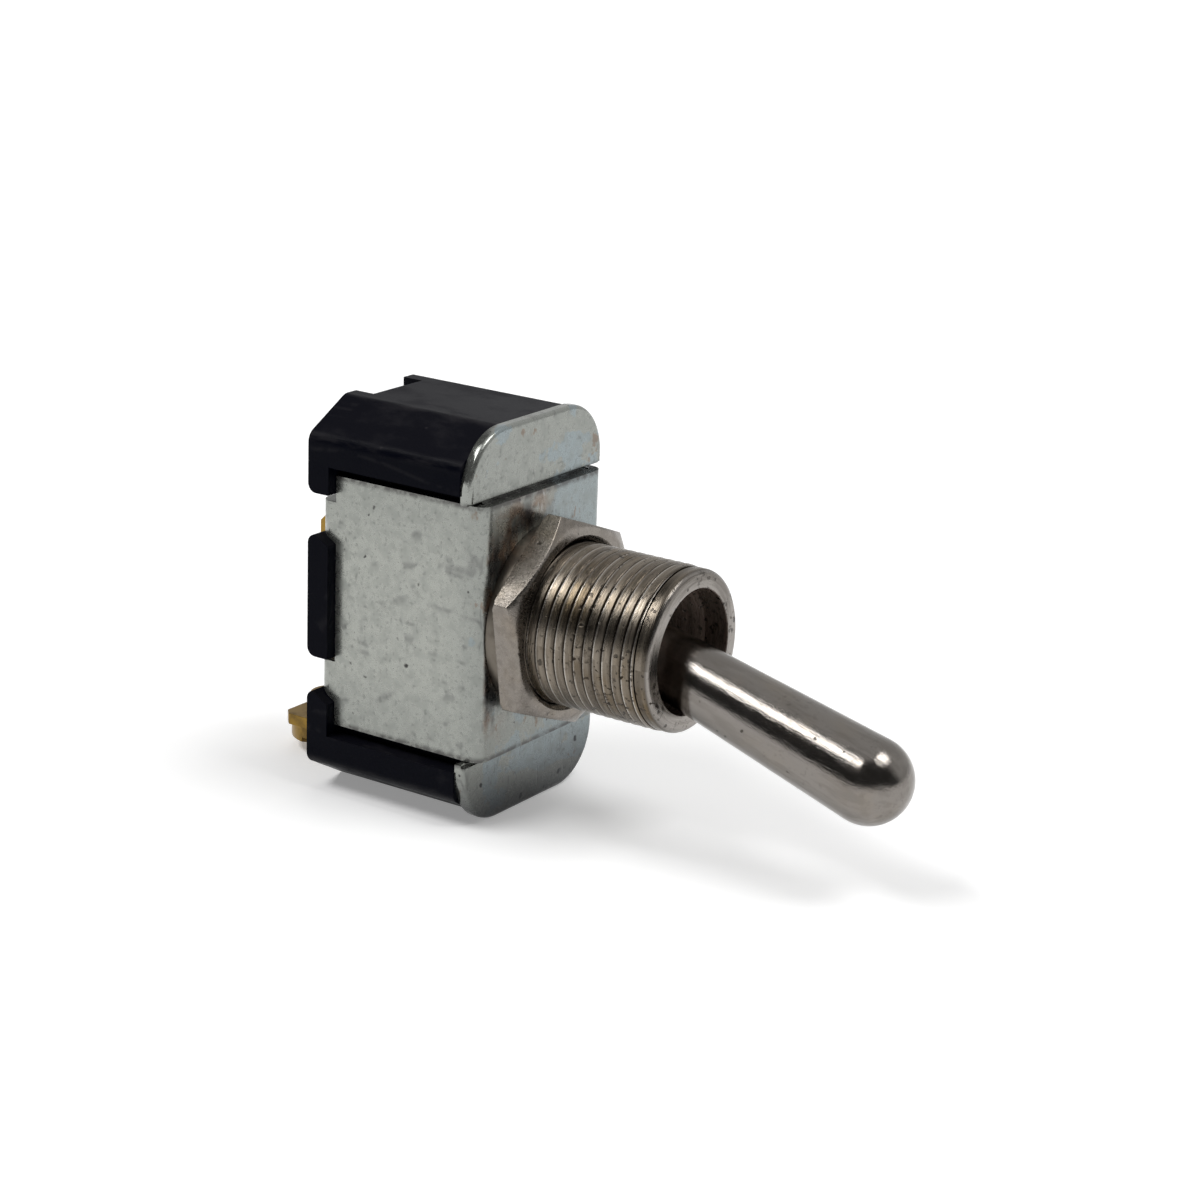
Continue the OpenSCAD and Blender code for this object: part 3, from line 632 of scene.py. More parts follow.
@dataclass(frozen=True)
class NickelPlate(Finish):
    """Brushed nickel plate with dark pits; on a thread, crests that are worn pale and also carry a
    painted highlight, over roots darkened with painted shade; a painted highlight on the nose and a
    brown, mostly non-metallic bore that stands in for light reaching inside.
    """

    colour: Colour = (0.235, 0.213, 0.19)
    roughness: float = 0.22
    lay: Lay = Lay.NONE
    tilt: float = 0.0
    pivot: Colour = (0.0, 0.0, 0.0)
    pits: float = 0.3
    warm: Colour = (0.25, 0.19, 0.115)
    # Colour of the painted shade in the thread's roots.
    root: Colour = (0.05, 0.042, 0.034)
    # Colour of the worn crests, with a painted highlight in it.
    crest_wear_and_highlight: Colour = (0.6, 0.57, 0.53)
    # Colour of the nose's front face: worn metal with a painted highlight.
    nose: Colour = (0.44, 0.41, 0.38)
    # Colour of the painted light inside the bore.
    bore: Colour = (0.2, 0.15, 0.125)
    pit: Colour = (0.045, 0.04, 0.035)
    haze: Colour = (0.07, 0.058, 0.045)
    soil: Colour = (0.03, 0.024, 0.018)
    warmth: float = 0.25
    relief: float = 0.2
    grime: float = 0.0
    film: float = 0.0
    grain: float = 5200.0
    crest_mm: float = 0.0
    root_mm: float = 0.0
    nose_mm: float = 0.0
    bore_mm: float = 0.0

    def build(self) -> Material:
        """Builds the plate.

        Returns:
            The material.
        """
        material, graph, shader, place = self.start()
        move = graph.add("Mapping", vector_type="TEXTURE")
        graph.put(move.inputs["Vector"], place)
        move.inputs["Location"].default_value = self.pivot
        move.inputs["Rotation"].default_value = (self.tilt, 0.0, 0.0)
        local = move.outputs[0]
        tarnish = self.effect(graph, self.effects.blotches, local, Scale=260.0, Low=0.45, High=0.72)
        pits = self.effect(graph, self.effects.specks, local, Scale=1900.0, Size=0.3, Share=self.pits)
        tone = graph.layered(self.colour, (tarnish, self.warmth, self.warm))
        shine: Socket | float = 1.0
        grain_place = local
        if self.lay is Lay.ROUND:
            across, back, up = graph.split(local)
            radius = graph.radius(across, up)
            angle = graph.maths("ARCTAN2", up, across)
            ring = graph.add("CombineXYZ")
            graph.put(ring.inputs[0], radius)
            graph.put(ring.inputs[1], back)
            graph.put(ring.inputs[2], graph.times(angle, 0.0004))
            grain_place = ring.outputs[0]
            if self.crest_mm:
                # Painted shade darkens the thread towards its roots.
                outside_groove_shade = graph.ramp(radius, (self.root_mm + 0.03) * MM, (self.crest_mm - 0.04) * MM)
                # Painted highlight on the crests, laid over their real wear.
                crest_highlight_mask = graph.ramp(radius, (self.crest_mm - 0.03) * MM, self.crest_mm * MM)
                tone = graph.layered(graph.mix(outside_groove_shade, self.root, tone), (crest_highlight_mask, 0.85, self.crest_wear_and_highlight))
            # Painted highlight: the nose's front face is lightened, partly as worn metal and partly
            # standing in for a highlight.
            if self.nose_mm:
                out = graph.times(back, -1.0)
                nose = graph.ramp(out, (self.nose_mm - 0.1) * MM, (self.nose_mm + 0.15) * MM)
                tone = graph.layered(tone, (nose, 0.6, self.nose))
            # Painted light: the bore gets a brown, mostly non-metallic surface that catches the lamps,
            # standing in for light reaching inside it.
            if self.bore_mm:
                inside = graph.ramp(radius, self.bore_mm * MM, (self.bore_mm + 0.03) * MM, 1.0, 0.0)
                tone = graph.mix(inside, tone, self.bore)
                shine = graph.ramp(inside, 0.0, 1.0, 1.0, 0.25)
        elif self.lay is Lay.UPRIGHT:
            grain_place = graph.stretched(local, (1.0, 0.2, 1.0))
        grain = self.effect(graph, self.effects.brushing, grain_place, Scale=self.grain)
        spots = self.effect(graph, self.effects.blotches, local, Scale=2300.0, Low=0.575, High=0.62)
        patch = self.effect(graph, self.effects.blotches, local, Scale=230.0, Low=0.45, High=0.62)
        film = self.effect(graph, self.effects.blotches, grain_place, Scale=1500.0, Low=0.42, High=0.62)
        tone = graph.layered(tone, (pits, 0.8, self.pit), (film, self.film, self.haze),
                             (graph.times(spots, patch), self.grime, self.soil))
        graph.put(shader.inputs["Base Color"], tone)
        graph.put(shader.inputs["Metallic"], shine)
        graph.put(shader.inputs["Roughness"], graph.ramp(grain, 0.3, 0.7, self.roughness - 0.05,
                                                         self.roughness + 0.07))
        height = graph.maths("SUBTRACT", grain, graph.times(pits, 0.8))
        self.bump(graph, shader, height, self.relief, 0.00003)
        return material


@dataclass(frozen=True)
class Moulding(Finish):
    """Black moulded thermoset with a faint blue cast, scuffed along its creases and lightly dusted."""

    colour: Colour = (0.0016, 0.002, 0.0052)
    scuff: Colour = (0.035, 0.033, 0.036)
    creases_mm: tuple[Point, ...] = ((8.15, 12.35), (4.05, 14.6))
    crease_reach_mm: float = 0.7
    dust: float = 0.2

    def build(self) -> Material:
        """Builds the moulding's surface.

        Returns:
            The material.
        """
        material, graph, shader, place = self.start()
        along = graph.stretched(place, (1.0, 0.2, 1.0))
        haze = self.effect(graph, self.effects.blotches, graph.stretched(place, (1.0, 0.6, 1.0)),
                           Scale=420.0, Low=0.4, High=0.75)
        facing = graph.split(graph.add("TexCoord").outputs["Normal"])
        upward = graph.ramp(facing[2], 0.5, 0.85)
        scratches = self.effect(graph, self.effects.scratches, place, Scale=380.0, Amount=0.7)
        specks = self.effect(graph, self.effects.specks, place, Scale=1300.0, Size=0.14, Share=0.12)
        settled = graph.ramp(haze, 0.0, 1.0, self.dust * 0.6, self.dust * 1.6)
        tone = graph.layered(self.colour, (settled, upward, self.scuff), (scratches, 0.3, self.scuff))
        fold = graph.add("VectorMath", operation="ABSOLUTE")
        graph.put(fold.inputs[0], place)
        rub = self.effect(graph, self.effects.blotches, along, Scale=1500.0, Low=0.4, High=0.65)
        for across, up in self.creases_mm:
            gap = graph.add("VectorMath", operation="SUBTRACT")
            graph.put(gap.inputs[0], graph.stretched(fold.outputs[0], (1.0, 0.0, 1.0)))
            gap.inputs[1].default_value = (across * MM, 0.0, up * MM)
            length = graph.add("VectorMath", operation="LENGTH")
            graph.put(length.inputs[0], gap.outputs[0])
            near = graph.ramp(length.outputs["Value"], 0.0, self.crease_reach_mm * MM, 1.0, 0.0)
            tone = graph.layered(tone, (graph.times(near, rub), 0.5, self.scuff))
        tone = graph.layered(tone, (specks, 0.5, self.scuff))
        graph.put(shader.inputs["Base Color"], tone)
        graph.put(shader.inputs["Roughness"], graph.ramp(haze, 0.0, 1.0, 0.34, 0.5))
        shader.inputs["Specular IOR Level"].default_value = 0.038
        grain = self.effect(graph, self.effects.brushing, place, Scale=5200.0)
        self.bump(graph, shader, grain, 0.5, 0.00003)
        return material


@dataclass(frozen=True)
class PlainMetal(Finish):
    """A plain metal with its own colour, dulled in patches."""

    colour: Colour = (0.29, 0.18, 0.042)
    dull: Colour = (0.11, 0.075, 0.035)
    speck: Colour = (0.05, 0.04, 0.03)
    roughness: float = 0.32

    def build(self) -> Material:
        """Builds the metal.

        Returns:
            The material.
        """
        material, graph, shader, place = self.start()
        tarnish = self.effect(graph, self.effects.blotches, place, Scale=480.0, Low=0.42, High=0.7)
        specks = self.effect(graph, self.effects.specks, place, Scale=1600.0, Size=0.2, Share=0.2)
        tone = graph.layered(self.colour, (tarnish, 0.6, self.dull), (specks, 0.6, self.speck))
        graph.put(shader.inputs["Base Color"], tone)
        shader.inputs["Metallic"].default_value = 1.0
        rough = graph.ramp(tarnish, 0.0, 1.0, self.roughness, self.roughness + 0.15)
        graph.put(shader.inputs["Roughness"], rough)
        grain = self.effect(graph, self.effects.brushing, place, Scale=3600.0)
        self.bump(graph, shader, grain, 0.2, 0.00003)
        return material


@dataclass(frozen=True)
class PlainSolid(Finish):
    """A non-metal such as nylon or pressed fibre, mottled and slightly rough."""

    colour: Colour = (0.7, 0.66, 0.56)
    mottle: Colour = (0.55, 0.5, 0.4)
    roughness: float = 0.55

    def build(self) -> Material:
        """Builds the surface.

        Returns:
            The material.
        """
        material, graph, shader, place = self.start()
        patches = self.effect(graph, self.effects.blotches, place, Scale=900.0, Low=0.4, High=0.7)
        graph.put(shader.inputs["Base Color"], graph.mix(patches, self.colour, self.mottle))
        rough = graph.ramp(patches, 0.0, 1.0, self.roughness, self.roughness + 0.12)
        graph.put(shader.inputs["Roughness"], rough)
        grain = self.effect(graph, self.effects.brushing, place, Scale=3000.0)
        self.bump(graph, shader, grain, 0.3, 0.00004)
        return material


# ---------------------------------------------------------------------------
# Meshes
# ---------------------------------------------------------------------------


def finish_mesh(bm: Mesh, name: str, sharp_deg: float = 32.0) -> Piece:
    """Turns a bmesh into an object at the origin, shaded smooth up to an angle.

    Args:
        bm: The mesh; it is freed.
        name: The object's name.
        sharp_deg: Edges that turn more than this stay sharp.

    Returns:
        The object.
    """
    mesh = bpy.data.meshes.new(name)
    bm.to_mesh(mesh)
    bm.free()
    mesh.shade_smooth()
    mesh.set_sharp_from_angle(angle=math.radians(sharp_deg))
    piece = bpy.data.objects.new(name, mesh)
    bpy.context.scene.collection.objects.link(piece)
    return piece


def soften_edges(bm: Mesh, width: float, segments: int, least_deg: float = 32.0) -> None:
    """Rounds every edge that turns more than an angle.

    Args:
        bm: The mesh.
        width: The rounding's width, in metres.
        segments: How many strips the rounding has.
        least_deg: The smallest turn that is rounded.
    """
    edges = [e for e in bm.edges if e.is_manifold and e.calc_face_angle(0.0) > math.radians(least_deg)]
    bmesh.ops.bevel(bm, geom=edges, offset=width, offset_type="OFFSET", segments=segments, profile=0.5,
                    affect="EDGES", clamp_overlap=True, material=-1)


def rounded_copy(frame: dict, node: str, width: float, segments: int = 2) -> Piece:
    """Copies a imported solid's mesh, merges it and rounds its edges.

    Args:
        frame: The loaded frame.
        node: The solid's name.
        width: The rounding's width, in metres, or nought to keep the solid's own edges.
        segments: How many strips the rounding has.

    Returns:
        The new piece, which stands for the solid.
    """
    bm = bmesh.new()
    bm.from_mesh(frame["nodes"][node].data)
    bmesh.ops.remove_doubles(bm, verts=bm.verts, dist=1e-6)
    if width:
        bmesh.ops.dissolve_limit(bm, angle_limit=math.radians(0.6), verts=bm.verts, edges=bm.edges)
        soften_edges(bm, width, segments)
    piece = finish_mesh(bm, node + "_dressed")
    smooth = piece.modifiers.new("even_shading", "WEIGHTED_NORMAL")
    smooth.keep_sharp = True
    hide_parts(node)
    return piece


def spun(points: list[Point], steps: int = 160) -> Mesh:
    """Turns a closed outline about the bushing's axis.

    Args:
        points: The outline as (distance forward of the seat, radius) in millimetres.
        steps: How many steps the turn has.

    Returns:
        The closed solid of revolution.
    """
    bm = bmesh.new()
    ring = [bm.verts.new((radius * MM, -out * MM, 0.0)) for out, radius in points]
    edges = [bm.edges.new((ring[i], ring[(i + 1) % len(ring)])) for i in range(len(ring))
             if points[i][1] > 0.0 or points[(i + 1) % len(ring)][1] > 0.0]
    bmesh.ops.spin(bm, geom=ring + edges, cent=(0.0, 0.0, 0.0), axis=(0.0, 1.0, 0.0), angle=math.tau,
                   steps=steps, use_merge=True)
    bmesh.ops.remove_doubles(bm, verts=bm.verts, dist=1e-7)
    bmesh.ops.recalc_face_normals(bm, faces=bm.faces)
    return bm


def arc(centre: Point, radius: float, start_deg: float, end_deg: float, count: int) -> list[Point]:
    """Points of an arc in an outline.

    Args:
        centre: The arc's centre.
        radius: Its radius.
        start_deg: Its first angle.
        end_deg: Its last angle.
        count: How many steps it has.

    Returns:
        The points, both ends included.
    """
    angles = [math.radians(start_deg + (end_deg - start_deg) * i / count) for i in range(count + 1)]
    return [(centre[0] + radius * math.cos(a), centre[1] + radius * math.sin(a)) for a in angles]


def thread_tube(start: float, end: float, pitch: float, crest_r: float, depth: float, inner_r: float,
                steps: int = 96) -> Mesh:
    """Cuts a right-hand thread on a tube about the bushing's axis.

    Args:
        start: Where the thread starts, in millimetres forward of the seat.
        end: Where it ends.
        pitch: The thread's pitch.
        crest_r: Radius at the crests.
        depth: Depth of the thread.
        inner_r: Inside radius of the tube.
        steps: How many steps each turn has.

    Returns:
        The closed threaded tube.
    """
    bm = bmesh.new()
    turns = math.ceil((end - start) / pitch) + 3
    tooth = ((0.0, crest_r - depth * 0.1), (pitch * 0.04, crest_r), (pitch * 0.1, crest_r - depth * 0.08),
             (pitch * 0.4, crest_r - depth * 0.22), (pitch * 0.7, crest_r - depth * 0.45),
             (pitch * 0.84, crest_r - depth), (pitch * 0.9, crest_r - depth))
    outline = [(start - pitch + turn * pitch + out, radius)
               for turn in range(turns) for out, radius in tooth]
    ring = [bm.verts.new((radius * MM, -out * MM, 0.0)) for out, radius in outline]
    edges = [bm.edges.new(pair) for pair in zip(ring, ring[1:])]
    bmesh.ops.spin(bm, geom=ring + edges, cent=(0.0, 0.0, 0.0), axis=(0.0, 1.0, 0.0),
                   dvec=(0.0, -pitch * MM / steps, 0.0), angle=math.tau, steps=steps, use_merge=False)
    bmesh.ops.remove_doubles(bm, verts=bm.verts, dist=2e-6)
    for out, normal in ((start, (0.0, 1.0, 0.0)), (end, (0.0, -1.0, 0.0))):
        geom = bm.verts[:] + bm.edges[:] + bm.faces[:]
        bmesh.ops.bisect_plane(bm, geom=geom, dist=1e-8, plane_co=(0.0, -out * MM, 0.0), plane_no=normal,
                               clear_outer=True)
    loops = []
    for out in (start, end):
        rim = [e for e in bm.edges
               if e.is_boundary and all(abs(v.co.y + out * MM) < 1e-6 for v in e.verts)]
        made = bmesh.ops.extrude_edge_only(bm, edges=rim)["geom"]
        for vert in (g for g in made if isinstance(g, bmesh.types.BMVert)):
            shrink = inner_r * MM / math.hypot(vert.co.x, vert.co.z)
            vert.co.x *= shrink
            vert.co.z *= shrink
        loops += [g for g in made if isinstance(g, bmesh.types.BMEdge)]
    bmesh.ops.bridge_loops(bm, edges=[e for e in loops if e.is_boundary])
    bmesh.ops.recalc_face_normals(bm, faces=bm.faces)
    return bm


def joined(parts: list[Mesh]) -> Mesh:
    """Puts several meshes in one.

    Args:
        parts: The meshes; all but the first are freed.

    Returns:
        The first mesh with the others in it.
    """
    whole = parts[0]
    for part in parts[1:]:
        spare = bpy.data.meshes.new("spare")
        part.to_mesh(spare)
        part.free()
        whole.from_mesh(spare)
        bpy.data.meshes.remove(spare)
    return whole


# ---------------------------------------------------------------------------
# Sub-assemblies
# ---------------------------------------------------------------------------


@dataclass
class Housing:
    """The folded frame, the face plate and the moulded case."""

    frame: dict
    effects: Effects
    sheet_edge: float = 0.00012
    plate_edge: float = 0.00005
    case_edge: float = 0.00022

    def build(self) -> list[Piece]:
        """Builds the three pieces.

        Returns:
            The pieces.
        """
        frame = rounded_copy(self.frame, "frame", self.sheet_edge, 3)
        plate = rounded_copy(self.frame, "face_plate", self.plate_edge)
        case = rounded_copy(self.frame, "case", self.case_edge, 3)
        for piece in (frame, plate, case):
            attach(piece, "housing")
        ZincPlate("zinc_frame", self.effects).dress(frame)
        ZincPlate("zinc_plate", self.effects, front_mm=1.3, foot_shade=0.85, rim_shine=0.12).dress(plate)
        Moulding("moulded_black", self.effects).dress(case)
        return [frame, plate, case]


@dataclass
class Bushing:
    """The threaded bushing with its bore, and the nut and lock washer on it."""

    frame: dict
    effects: Effects
    length: float = 12.9
    nose: float = 1.15
    nose_r: float = 5.875
    nose_round: float = 0.45
    crest_r: float = 5.95
    pitch: float = 0.79375
    depth: float = 0.2
    core_r: float = 5.3
    bore_r: float = 4.53
    mouth: float = 1.9
    throat_r: float = 3.3
    seat_r: float = 3.65
    pivot: float = 6.77
    rear_r: float = 4.3
    pin_back: float = 5.95
    spigot_r: float = 5.6
    stake: Point = (-2.12, 5.95)

    def body_outline(self) -> list[Point]:
        """The bushing's section without its thread.

        Returns:
            The closed outline.
        """
        front = self.length
        seat_half = math.sqrt(self.seat_r ** 2 - self.throat_r ** 2)
        seat = [(self.pivot + self.seat_r * math.cos(a), self.seat_r * math.sin(a))
                for a in (math.radians(d) for d in (70, 75, 80, 85, 90))]
        return [
            (self.stake[0], self.rear_r + 0.75), (self.stake[0], self.stake[1]),
            (self.stake[0] + 0.5, self.stake[1]), (self.stake[0] + 0.5, self.spigot_r),
            (0.0, self.spigot_r), (0.0, self.core_r), (front - self.nose, self.core_r),
            (front - self.nose, self.nose_r - 0.15), (front - self.nose + 0.12, self.nose_r),
            *arc((front - self.nose_round, self.nose_r - self.nose_round), self.nose_round, 90, 0, 6),
            (front, self.bore_r + 0.06), (front - 0.06, self.bore_r),
            (front - self.mouth, self.bore_r), (self.pivot + seat_half + 0.3, self.throat_r), *seat,
            (self.pin_back, self.seat_r), (self.pin_back, self.rear_r), (-0.9, self.rear_r),
        ]

    def build(self) -> list[Piece]:
        """Builds the bushing, the nut and the washer.

        Returns:
            The pieces.
        """
        body = spun(self.body_outline())
        thread = thread_tube(0.05, self.length - self.nose + 0.02, self.pitch, self.crest_r, self.depth,
                             self.core_r - 0.1)
        bushing = finish_mesh(joined([body, thread]), "bushing_dressed", 25.0)
        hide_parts("bushing")
        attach(bushing, "housing")
        NickelPlate("nickel_bushing", self.effects, colour=(0.23, 0.198, 0.16), warm=(0.15, 0.108, 0.058),
                    roughness=0.27, lay=Lay.ROUND, pits=0.5, warmth=0.95, relief=0.9, grime=1.0, film=0.6,
                    crest_mm=self.crest_r, root_mm=self.crest_r - self.depth, nose_mm=self.length - 0.22,
                    bore_mm=self.bore_r + 0.02).dress(bushing)
        nut = rounded_copy(self.frame, "hex_nut", 0.0001)
        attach(nut, "nut")
        NickelPlate("nickel_nut", self.effects, roughness=0.28, pits=0.12, warmth=0.25, relief=0.45,
                    grime=0.5, film=0.22).dress(nut)
        washer = rounded_copy(self.frame, "lock_washer", 0.00007)
        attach(washer, "washer")
        PlainMetal("zinc_washer", self.effects, colour=(0.17, 0.15, 0.125), dull=(0.07, 0.058, 0.048),
                   roughness=0.4).dress(washer)
        return [bushing, nut, washer]


@dataclass
class Lever:
    """The bat lever, with the plunger and spring in its tail."""

    frame: dict
    effects: Effects
    pivot: float = 6.77
    tilt_deg: float = 16.2
    reach: float = 21.4
    tip_r: float = 3.13
    neck_r: float = 2.3
    ball_r: float = 3.6
    tail_r: float = 1.9
    tail: float = 11.0
    bore_r: float = 1.25
    bore: float = 7.4
    spring_ends: Point = (3.9, 7.55)

    def outline(self) -> list[Point]:
        """The lever's section, from the tip round to the tail's bore, measured from the pivot.

        Returns:
            The closed outline.
        """
        slope = (self.tip_r - self.neck_r) / self.reach
        lean = math.degrees(math.atan(slope))
        ball_out = math.sqrt(self.ball_r ** 2 - (self.neck_r + 0.1) ** 2)
        ball_back = math.sqrt(self.ball_r ** 2 - self.tail_r ** 2)
        return [
            *arc((self.reach, 0.0), self.tip_r, 0, 90 + lean, 28),
            *[(out, self.neck_r + slope * out)
              for out in (ball_out + (self.reach - ball_out) * s for s in (0.8, 0.6, 0.4, 0.2))],
            *arc((0.0, 0.0), self.ball_r, math.degrees(math.atan2(self.neck_r + 0.1, ball_out)),
                 math.degrees(math.atan2(self.tail_r, -ball_back)), 24),
            (0.15 - self.tail, self.tail_r), (-self.tail, self.tail_r - 0.15),
            (-self.tail, self.bore_r), (self.bore - self.tail, self.bore_r), (self.bore - self.tail, 0.0),
        ]

    def build(self) -> list[Piece]:
        """Builds the lever and dresses what is in its tail.

        Returns:
            The pieces.
        """
        bm = spun(self.outline(), 192)
        turn = Matrix.Rotation(math.radians(self.tilt_deg), 3, "X")
        bmesh.ops.rotate(bm, cent=(0.0, 0.0, 0.0), matrix=turn, verts=bm.verts)
        bmesh.ops.translate(bm, vec=(0.0, -self.pivot * MM, 0.0), verts=bm.verts)
        lever = finish_mesh(bm, "lever_dressed", 40.0)
        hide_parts("lever")
        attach(lever, "lever")
        NickelPlate("nickel_lever", self.effects, colour=(0.228, 0.211, 0.194), roughness=0.14,
                    lay=Lay.UPRIGHT, pits=0.05, warmth=0.15, relief=0.6, grime=0.2, film=0.2,
                    grain=4600.0, tilt=math.radians(self.tilt_deg),
                    pivot=(0.0, -self.pivot * MM, 0.0)).dress(lever)
        spring = rounded_copy(self.frame, "plunger_spring", 0.0)
        PlainMetal("spring_wire", self.effects, colour=(0.36, 0.38, 0.42),
                   dull=(0.25, 0.26, 0.28)).dress(spring)
        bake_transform(spring)
        PlainSolid("nylon_plunger", self.effects).dress(self.frame["nodes"]["plunger"])
        return [lever, spring, self.frame["nodes"]["plunger"]]


@dataclass
class Terminals:
    """The two brass terminals with their screws and rivets, outside the case."""

    frame: dict
    effects: Effects
    edge: float = 0.00008

    def build(self) -> list[Piece]:
        """Builds the terminals, screws and rivets.

        Returns:
            The pieces.
        """
        brass = PlainMetal("terminal_brass", self.effects)
        made = []
        for node in ("common_terminal", "load_terminal", "common_screw", "load_screw", "common_rivet",
                     "load_rivet"):
            piece = rounded_copy(self.frame, node, self.edge)
            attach(piece, "housing")
            brass.dress(piece)
            made.append(piece)
        return made


@dataclass
class Inside:
    """The pieces that the case and the bushing hide: their own solids, each with its own finish."""

    frame: dict
    effects: Effects

    def build(self) -> list[Piece]:
        """Dresses the hidden pieces.

        Returns:
            The pieces.
        """
        nodes = self.frame["nodes"]
        PlainMetal("terminal_brass", self.effects).dress(nodes["rocker"])
        steel = PlainMetal("ground_steel", self.effects, colour=(0.42, 0.42, 0.43), dull=(0.3, 0.3, 0.3))
        steel.dress(nodes["pivot_pin"], nodes["pivot_sleeve"], nodes["fulcrum_pin"])
        PlainMetal("contact_silver", self.effects, colour=(0.72, 0.72, 0.7), dull=(0.45, 0.44, 0.42),
                   roughness=0.22).dress(nodes["moving_contact"], nodes["fixed_contact"])
        PlainSolid("pressed_fibre", self.effects, colour=(0.16, 0.075, 0.035), mottle=(0.1, 0.05, 0.025),
                   roughness=0.7).dress(nodes["insulator"])
        return [nodes[n] for n in ("rocker", "pivot_pin", "pivot_sleeve", "fulcrum_pin", "moving_contact",
                                   "fixed_contact", "insulator")]


# ---------------------------------------------------------------------------
# Studio
# ---------------------------------------------------------------------------


@dataclass
class Softbox:
    """One soft lamp that looks at the switch."""

    name: str
    azimuth: float
    elevation: float
    width_deg: float
    height_deg: float
    radiance: float
    distance: float = 1.6


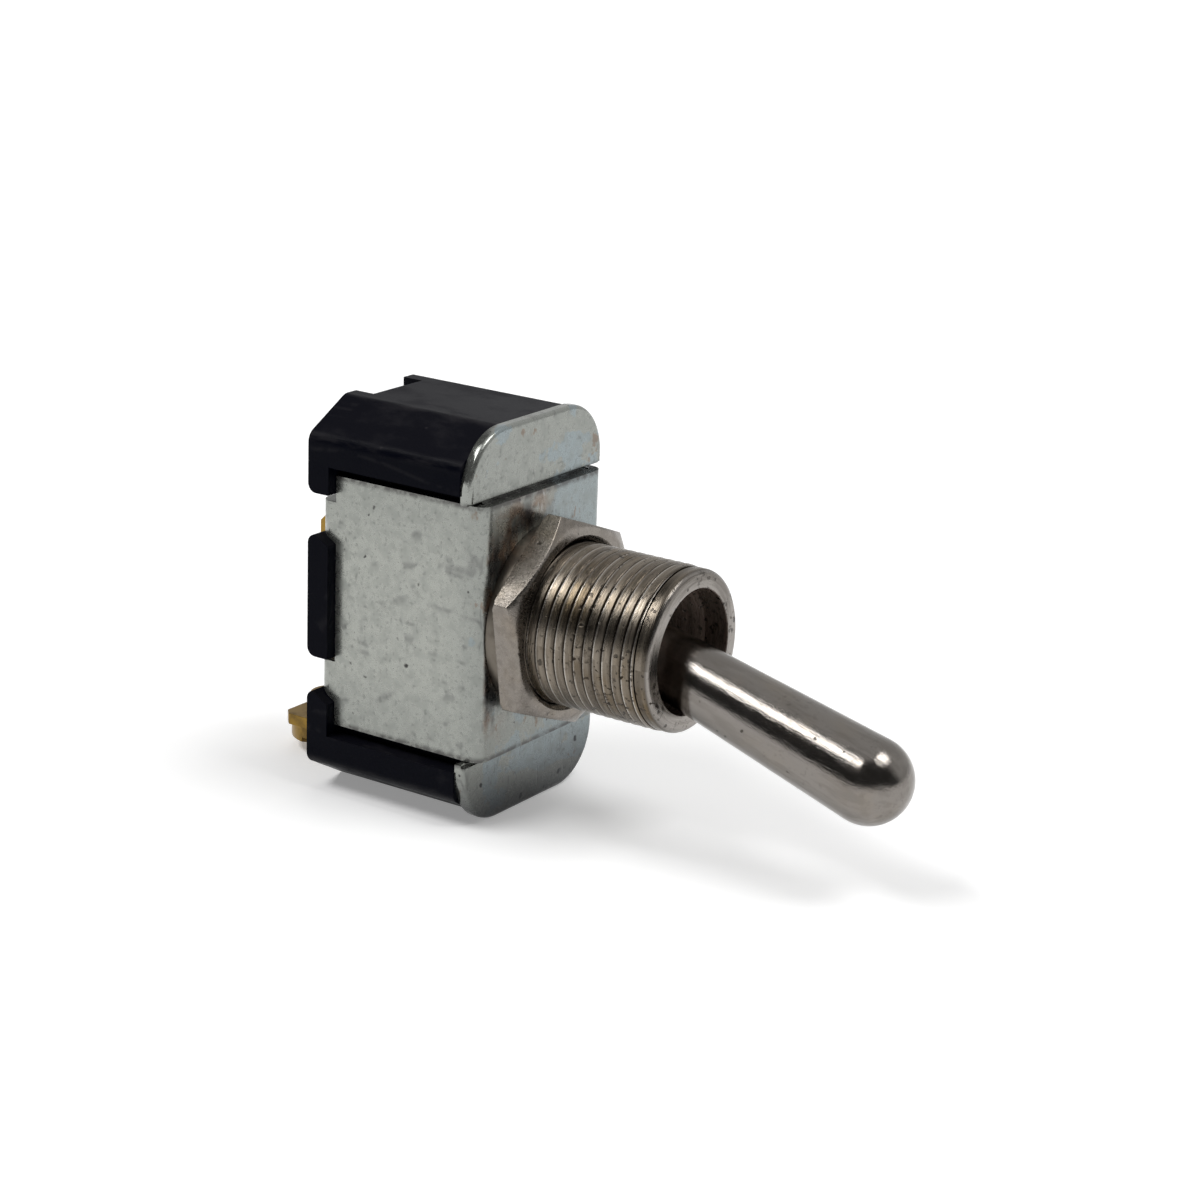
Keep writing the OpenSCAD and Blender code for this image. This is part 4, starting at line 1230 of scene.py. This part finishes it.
@dataclass
class Studio:
    """The floor, lamps, world and camera."""

    floor_z: float
    aim: Vector = field(default_factory=lambda: Vector((0.0, -0.004, -0.002)))
    azimuth: float = -56.412
    elevation: float = 17.658
    roll: float = 2.17
    sensor_mm: float = 36.0
    shift_mm: Point = (-4.154, -1.054)
    distance_mm: float = 208.907
    lens_mm: float = 87.066
    gloom: float = 0.06
    glow: float = 0.62
    glow_azimuth: float = -15.0
    glow_elevation: float = 30.0
    floor_colour: Colour = (0.93, 0.93, 0.93)
    floor_reach: float = 40.0
    floor_lift: float = 0.26
    pale_from: float = 0.4
    pale_to: float = 1.0
    boxes: list[Softbox] = field(default_factory=lambda: [
        Softbox("window_strip", 142.0, 56.0, 39.0, 17.0, 9.0),
        Softbox("near_lamp", -75.0, 63.0, 26.0, 26.0, 6.5),
    ])

    def direction(self, azimuth: float, elevation: float) -> Vector:
        """The unit vector towards an azimuth and an elevation.

        Args:
            azimuth: Degrees from +X towards +Y; the front of the switch is at -90.
            elevation: Degrees above the floor.

        Returns:
            The unit vector.
        """
        a, e = math.radians(azimuth), math.radians(elevation)
        return Vector((math.cos(a) * math.cos(e), math.sin(a) * math.cos(e), math.sin(e)))

    def build_camera(self) -> None:
        """Places the camera."""
        a, e, r = (math.radians(v) for v in (self.azimuth, self.elevation, self.roll))
        right = Vector((math.cos(a), math.sin(a), 0.0))
        back = Vector((math.sin(a) * math.cos(e), -math.cos(a) * math.cos(e), math.sin(e)))
        up = back.cross(right)
        rows = (right * math.cos(r) + up * math.sin(r), up * math.cos(r) - right * math.sin(r), back)
        offset = (*self.shift_mm, -self.distance_mm)
        eye = -sum((row * value for row, value in zip(rows, offset)), Vector()) * MM
        data = bpy.data.cameras.new("camera")
        data.sensor_width = self.sensor_mm
        data.lens = self.lens_mm
        data.clip_start = 0.01
        camera = bpy.data.objects.new("camera", data)
        camera.matrix_world = Matrix.Translation(eye) @ Matrix(rows).transposed().to_4x4()
        bpy.context.scene.collection.objects.link(camera)
        bpy.context.scene.camera = camera

    def build_floor(self) -> None:
        """Lays the plain pale floor, which stays white far beyond the lamps."""
        bm = bmesh.new()
        bmesh.ops.create_grid(bm, x_segments=1, y_segments=1, size=self.floor_reach)
        bmesh.ops.translate(bm, vec=(0.0, 0.0, self.floor_z), verts=bm.verts)
        floor = finish_mesh(bm, "floor")
        material = bpy.data.materials.new("pale_floor")
        material.use_nodes = True
        graph = Graph(material.node_tree)
        shader = material.node_tree.nodes["Principled BSDF"]
        graph.put(shader.inputs["Base Color"], self.floor_colour)
        shader.inputs["Roughness"].default_value = 0.9
        shader.inputs["Specular IOR Level"].default_value = 0.1
        shader.inputs["Emission Color"].default_value = (1.0, 1.0, 1.0, 1.0)
        path = graph.add("LightPath").outputs
        seen = graph.maths("ADD", path["Is Camera Ray"], path["Is Glossy Ray"])
        seen = graph.maths("ADD", seen, path["Is Transmission Ray"], clamp=True)
        away = graph.add("VectorMath", operation="LENGTH")
        graph.put(away.inputs[0], graph.add("TexCoord").outputs["Object"])
        beyond = graph.ramp(away.outputs["Value"], self.pale_from, self.pale_to)
        lift = graph.maths("ADD", self.floor_lift, graph.times(beyond, 1.0 - self.floor_lift))
        graph.put(shader.inputs["Emission Strength"], graph.times(seen, lift))
        floor.data.materials.append(material)
        floor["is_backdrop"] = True

    def build_lamps(self) -> None:
        """Hangs the soft lamps round the switch."""
        for box in self.boxes:
            data = bpy.data.lights.new(box.name, "AREA")
            data.shape = "ELLIPSE"
            data.size = 2 * box.distance * math.tan(math.radians(box.width_deg / 2))
            data.size_y = 2 * box.distance * math.tan(math.radians(box.height_deg / 2))
            data.energy = box.radiance * math.pi * data.size * data.size_y * math.pi / 4
            lamp = bpy.data.objects.new(box.name, data)
            towards = self.direction(box.azimuth, box.elevation)
            lamp.matrix_world = (Matrix.Translation(self.aim + towards * box.distance)
                                 @ towards.to_track_quat("Z", "Y").to_matrix().to_4x4())
            bpy.context.scene.collection.objects.link(lamp)

    def build_world(self) -> None:
        """Sets the even surroundings."""
        world = bpy.data.worlds.new("surroundings")
        world.use_nodes = True
        graph = Graph(world.node_tree)
        background = world.node_tree.nodes["Background"]
        look = graph.add("TexCoord").outputs["Generated"]
        towards = graph.add("VectorMath", operation="DOT_PRODUCT")
        graph.put(towards.inputs[0], look)
        towards.inputs[1].default_value = self.direction(self.glow_azimuth, self.glow_elevation)
        lit = graph.maths("MAXIMUM", graph.ramp(towards.outputs["Value"], 0.48, 0.68),
                          graph.ramp(graph.split(look)[2], 0.9, 0.98))
        strength = graph.maths("ADD", self.gloom, graph.times(lit, self.glow))
        graph.put(background.inputs["Strength"], strength)
        background.inputs["Color"].default_value = (1.0, 1.0, 1.0, 1.0)
        bpy.context.scene.world = world
        bpy.context.scene.view_settings.view_transform = "Standard"

    def build(self) -> None:
        """Builds the whole studio."""
        self.build_camera()
        self.build_floor()
        self.build_lamps()
        self.build_world()


def box_of(bounds: object) -> list[list[float]]:
    """A box as plain lists.

    Args:
        bounds: The lowest and highest corners.

    Returns:
        The two corners as lists of numbers.
    """
    return [[float(value) for value in corner] for corner in bounds]


def main() -> None:
    """Builds the switch and its studio, laying the floor at the bottom of the imported solids' box."""
    logging.basicConfig(level=logging.INFO, format="%(message)s")
    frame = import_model()
    solid_box = box_of(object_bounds())
    Studio(floor_z=solid_box[0][2]).build()
    effects = Effects()
    for assembly in (Housing(frame, effects), Bushing(frame, effects), Lever(frame, effects),
                     Terminals(frame, effects), Inside(frame, effects)):
        for piece in assembly.build():
            LOG.info("%s: %s, %d faces", type(assembly).__name__, piece.name, len(piece.data.polygons))
    bpy.context.view_layer.update()


if __name__ == "__main__":
    main()
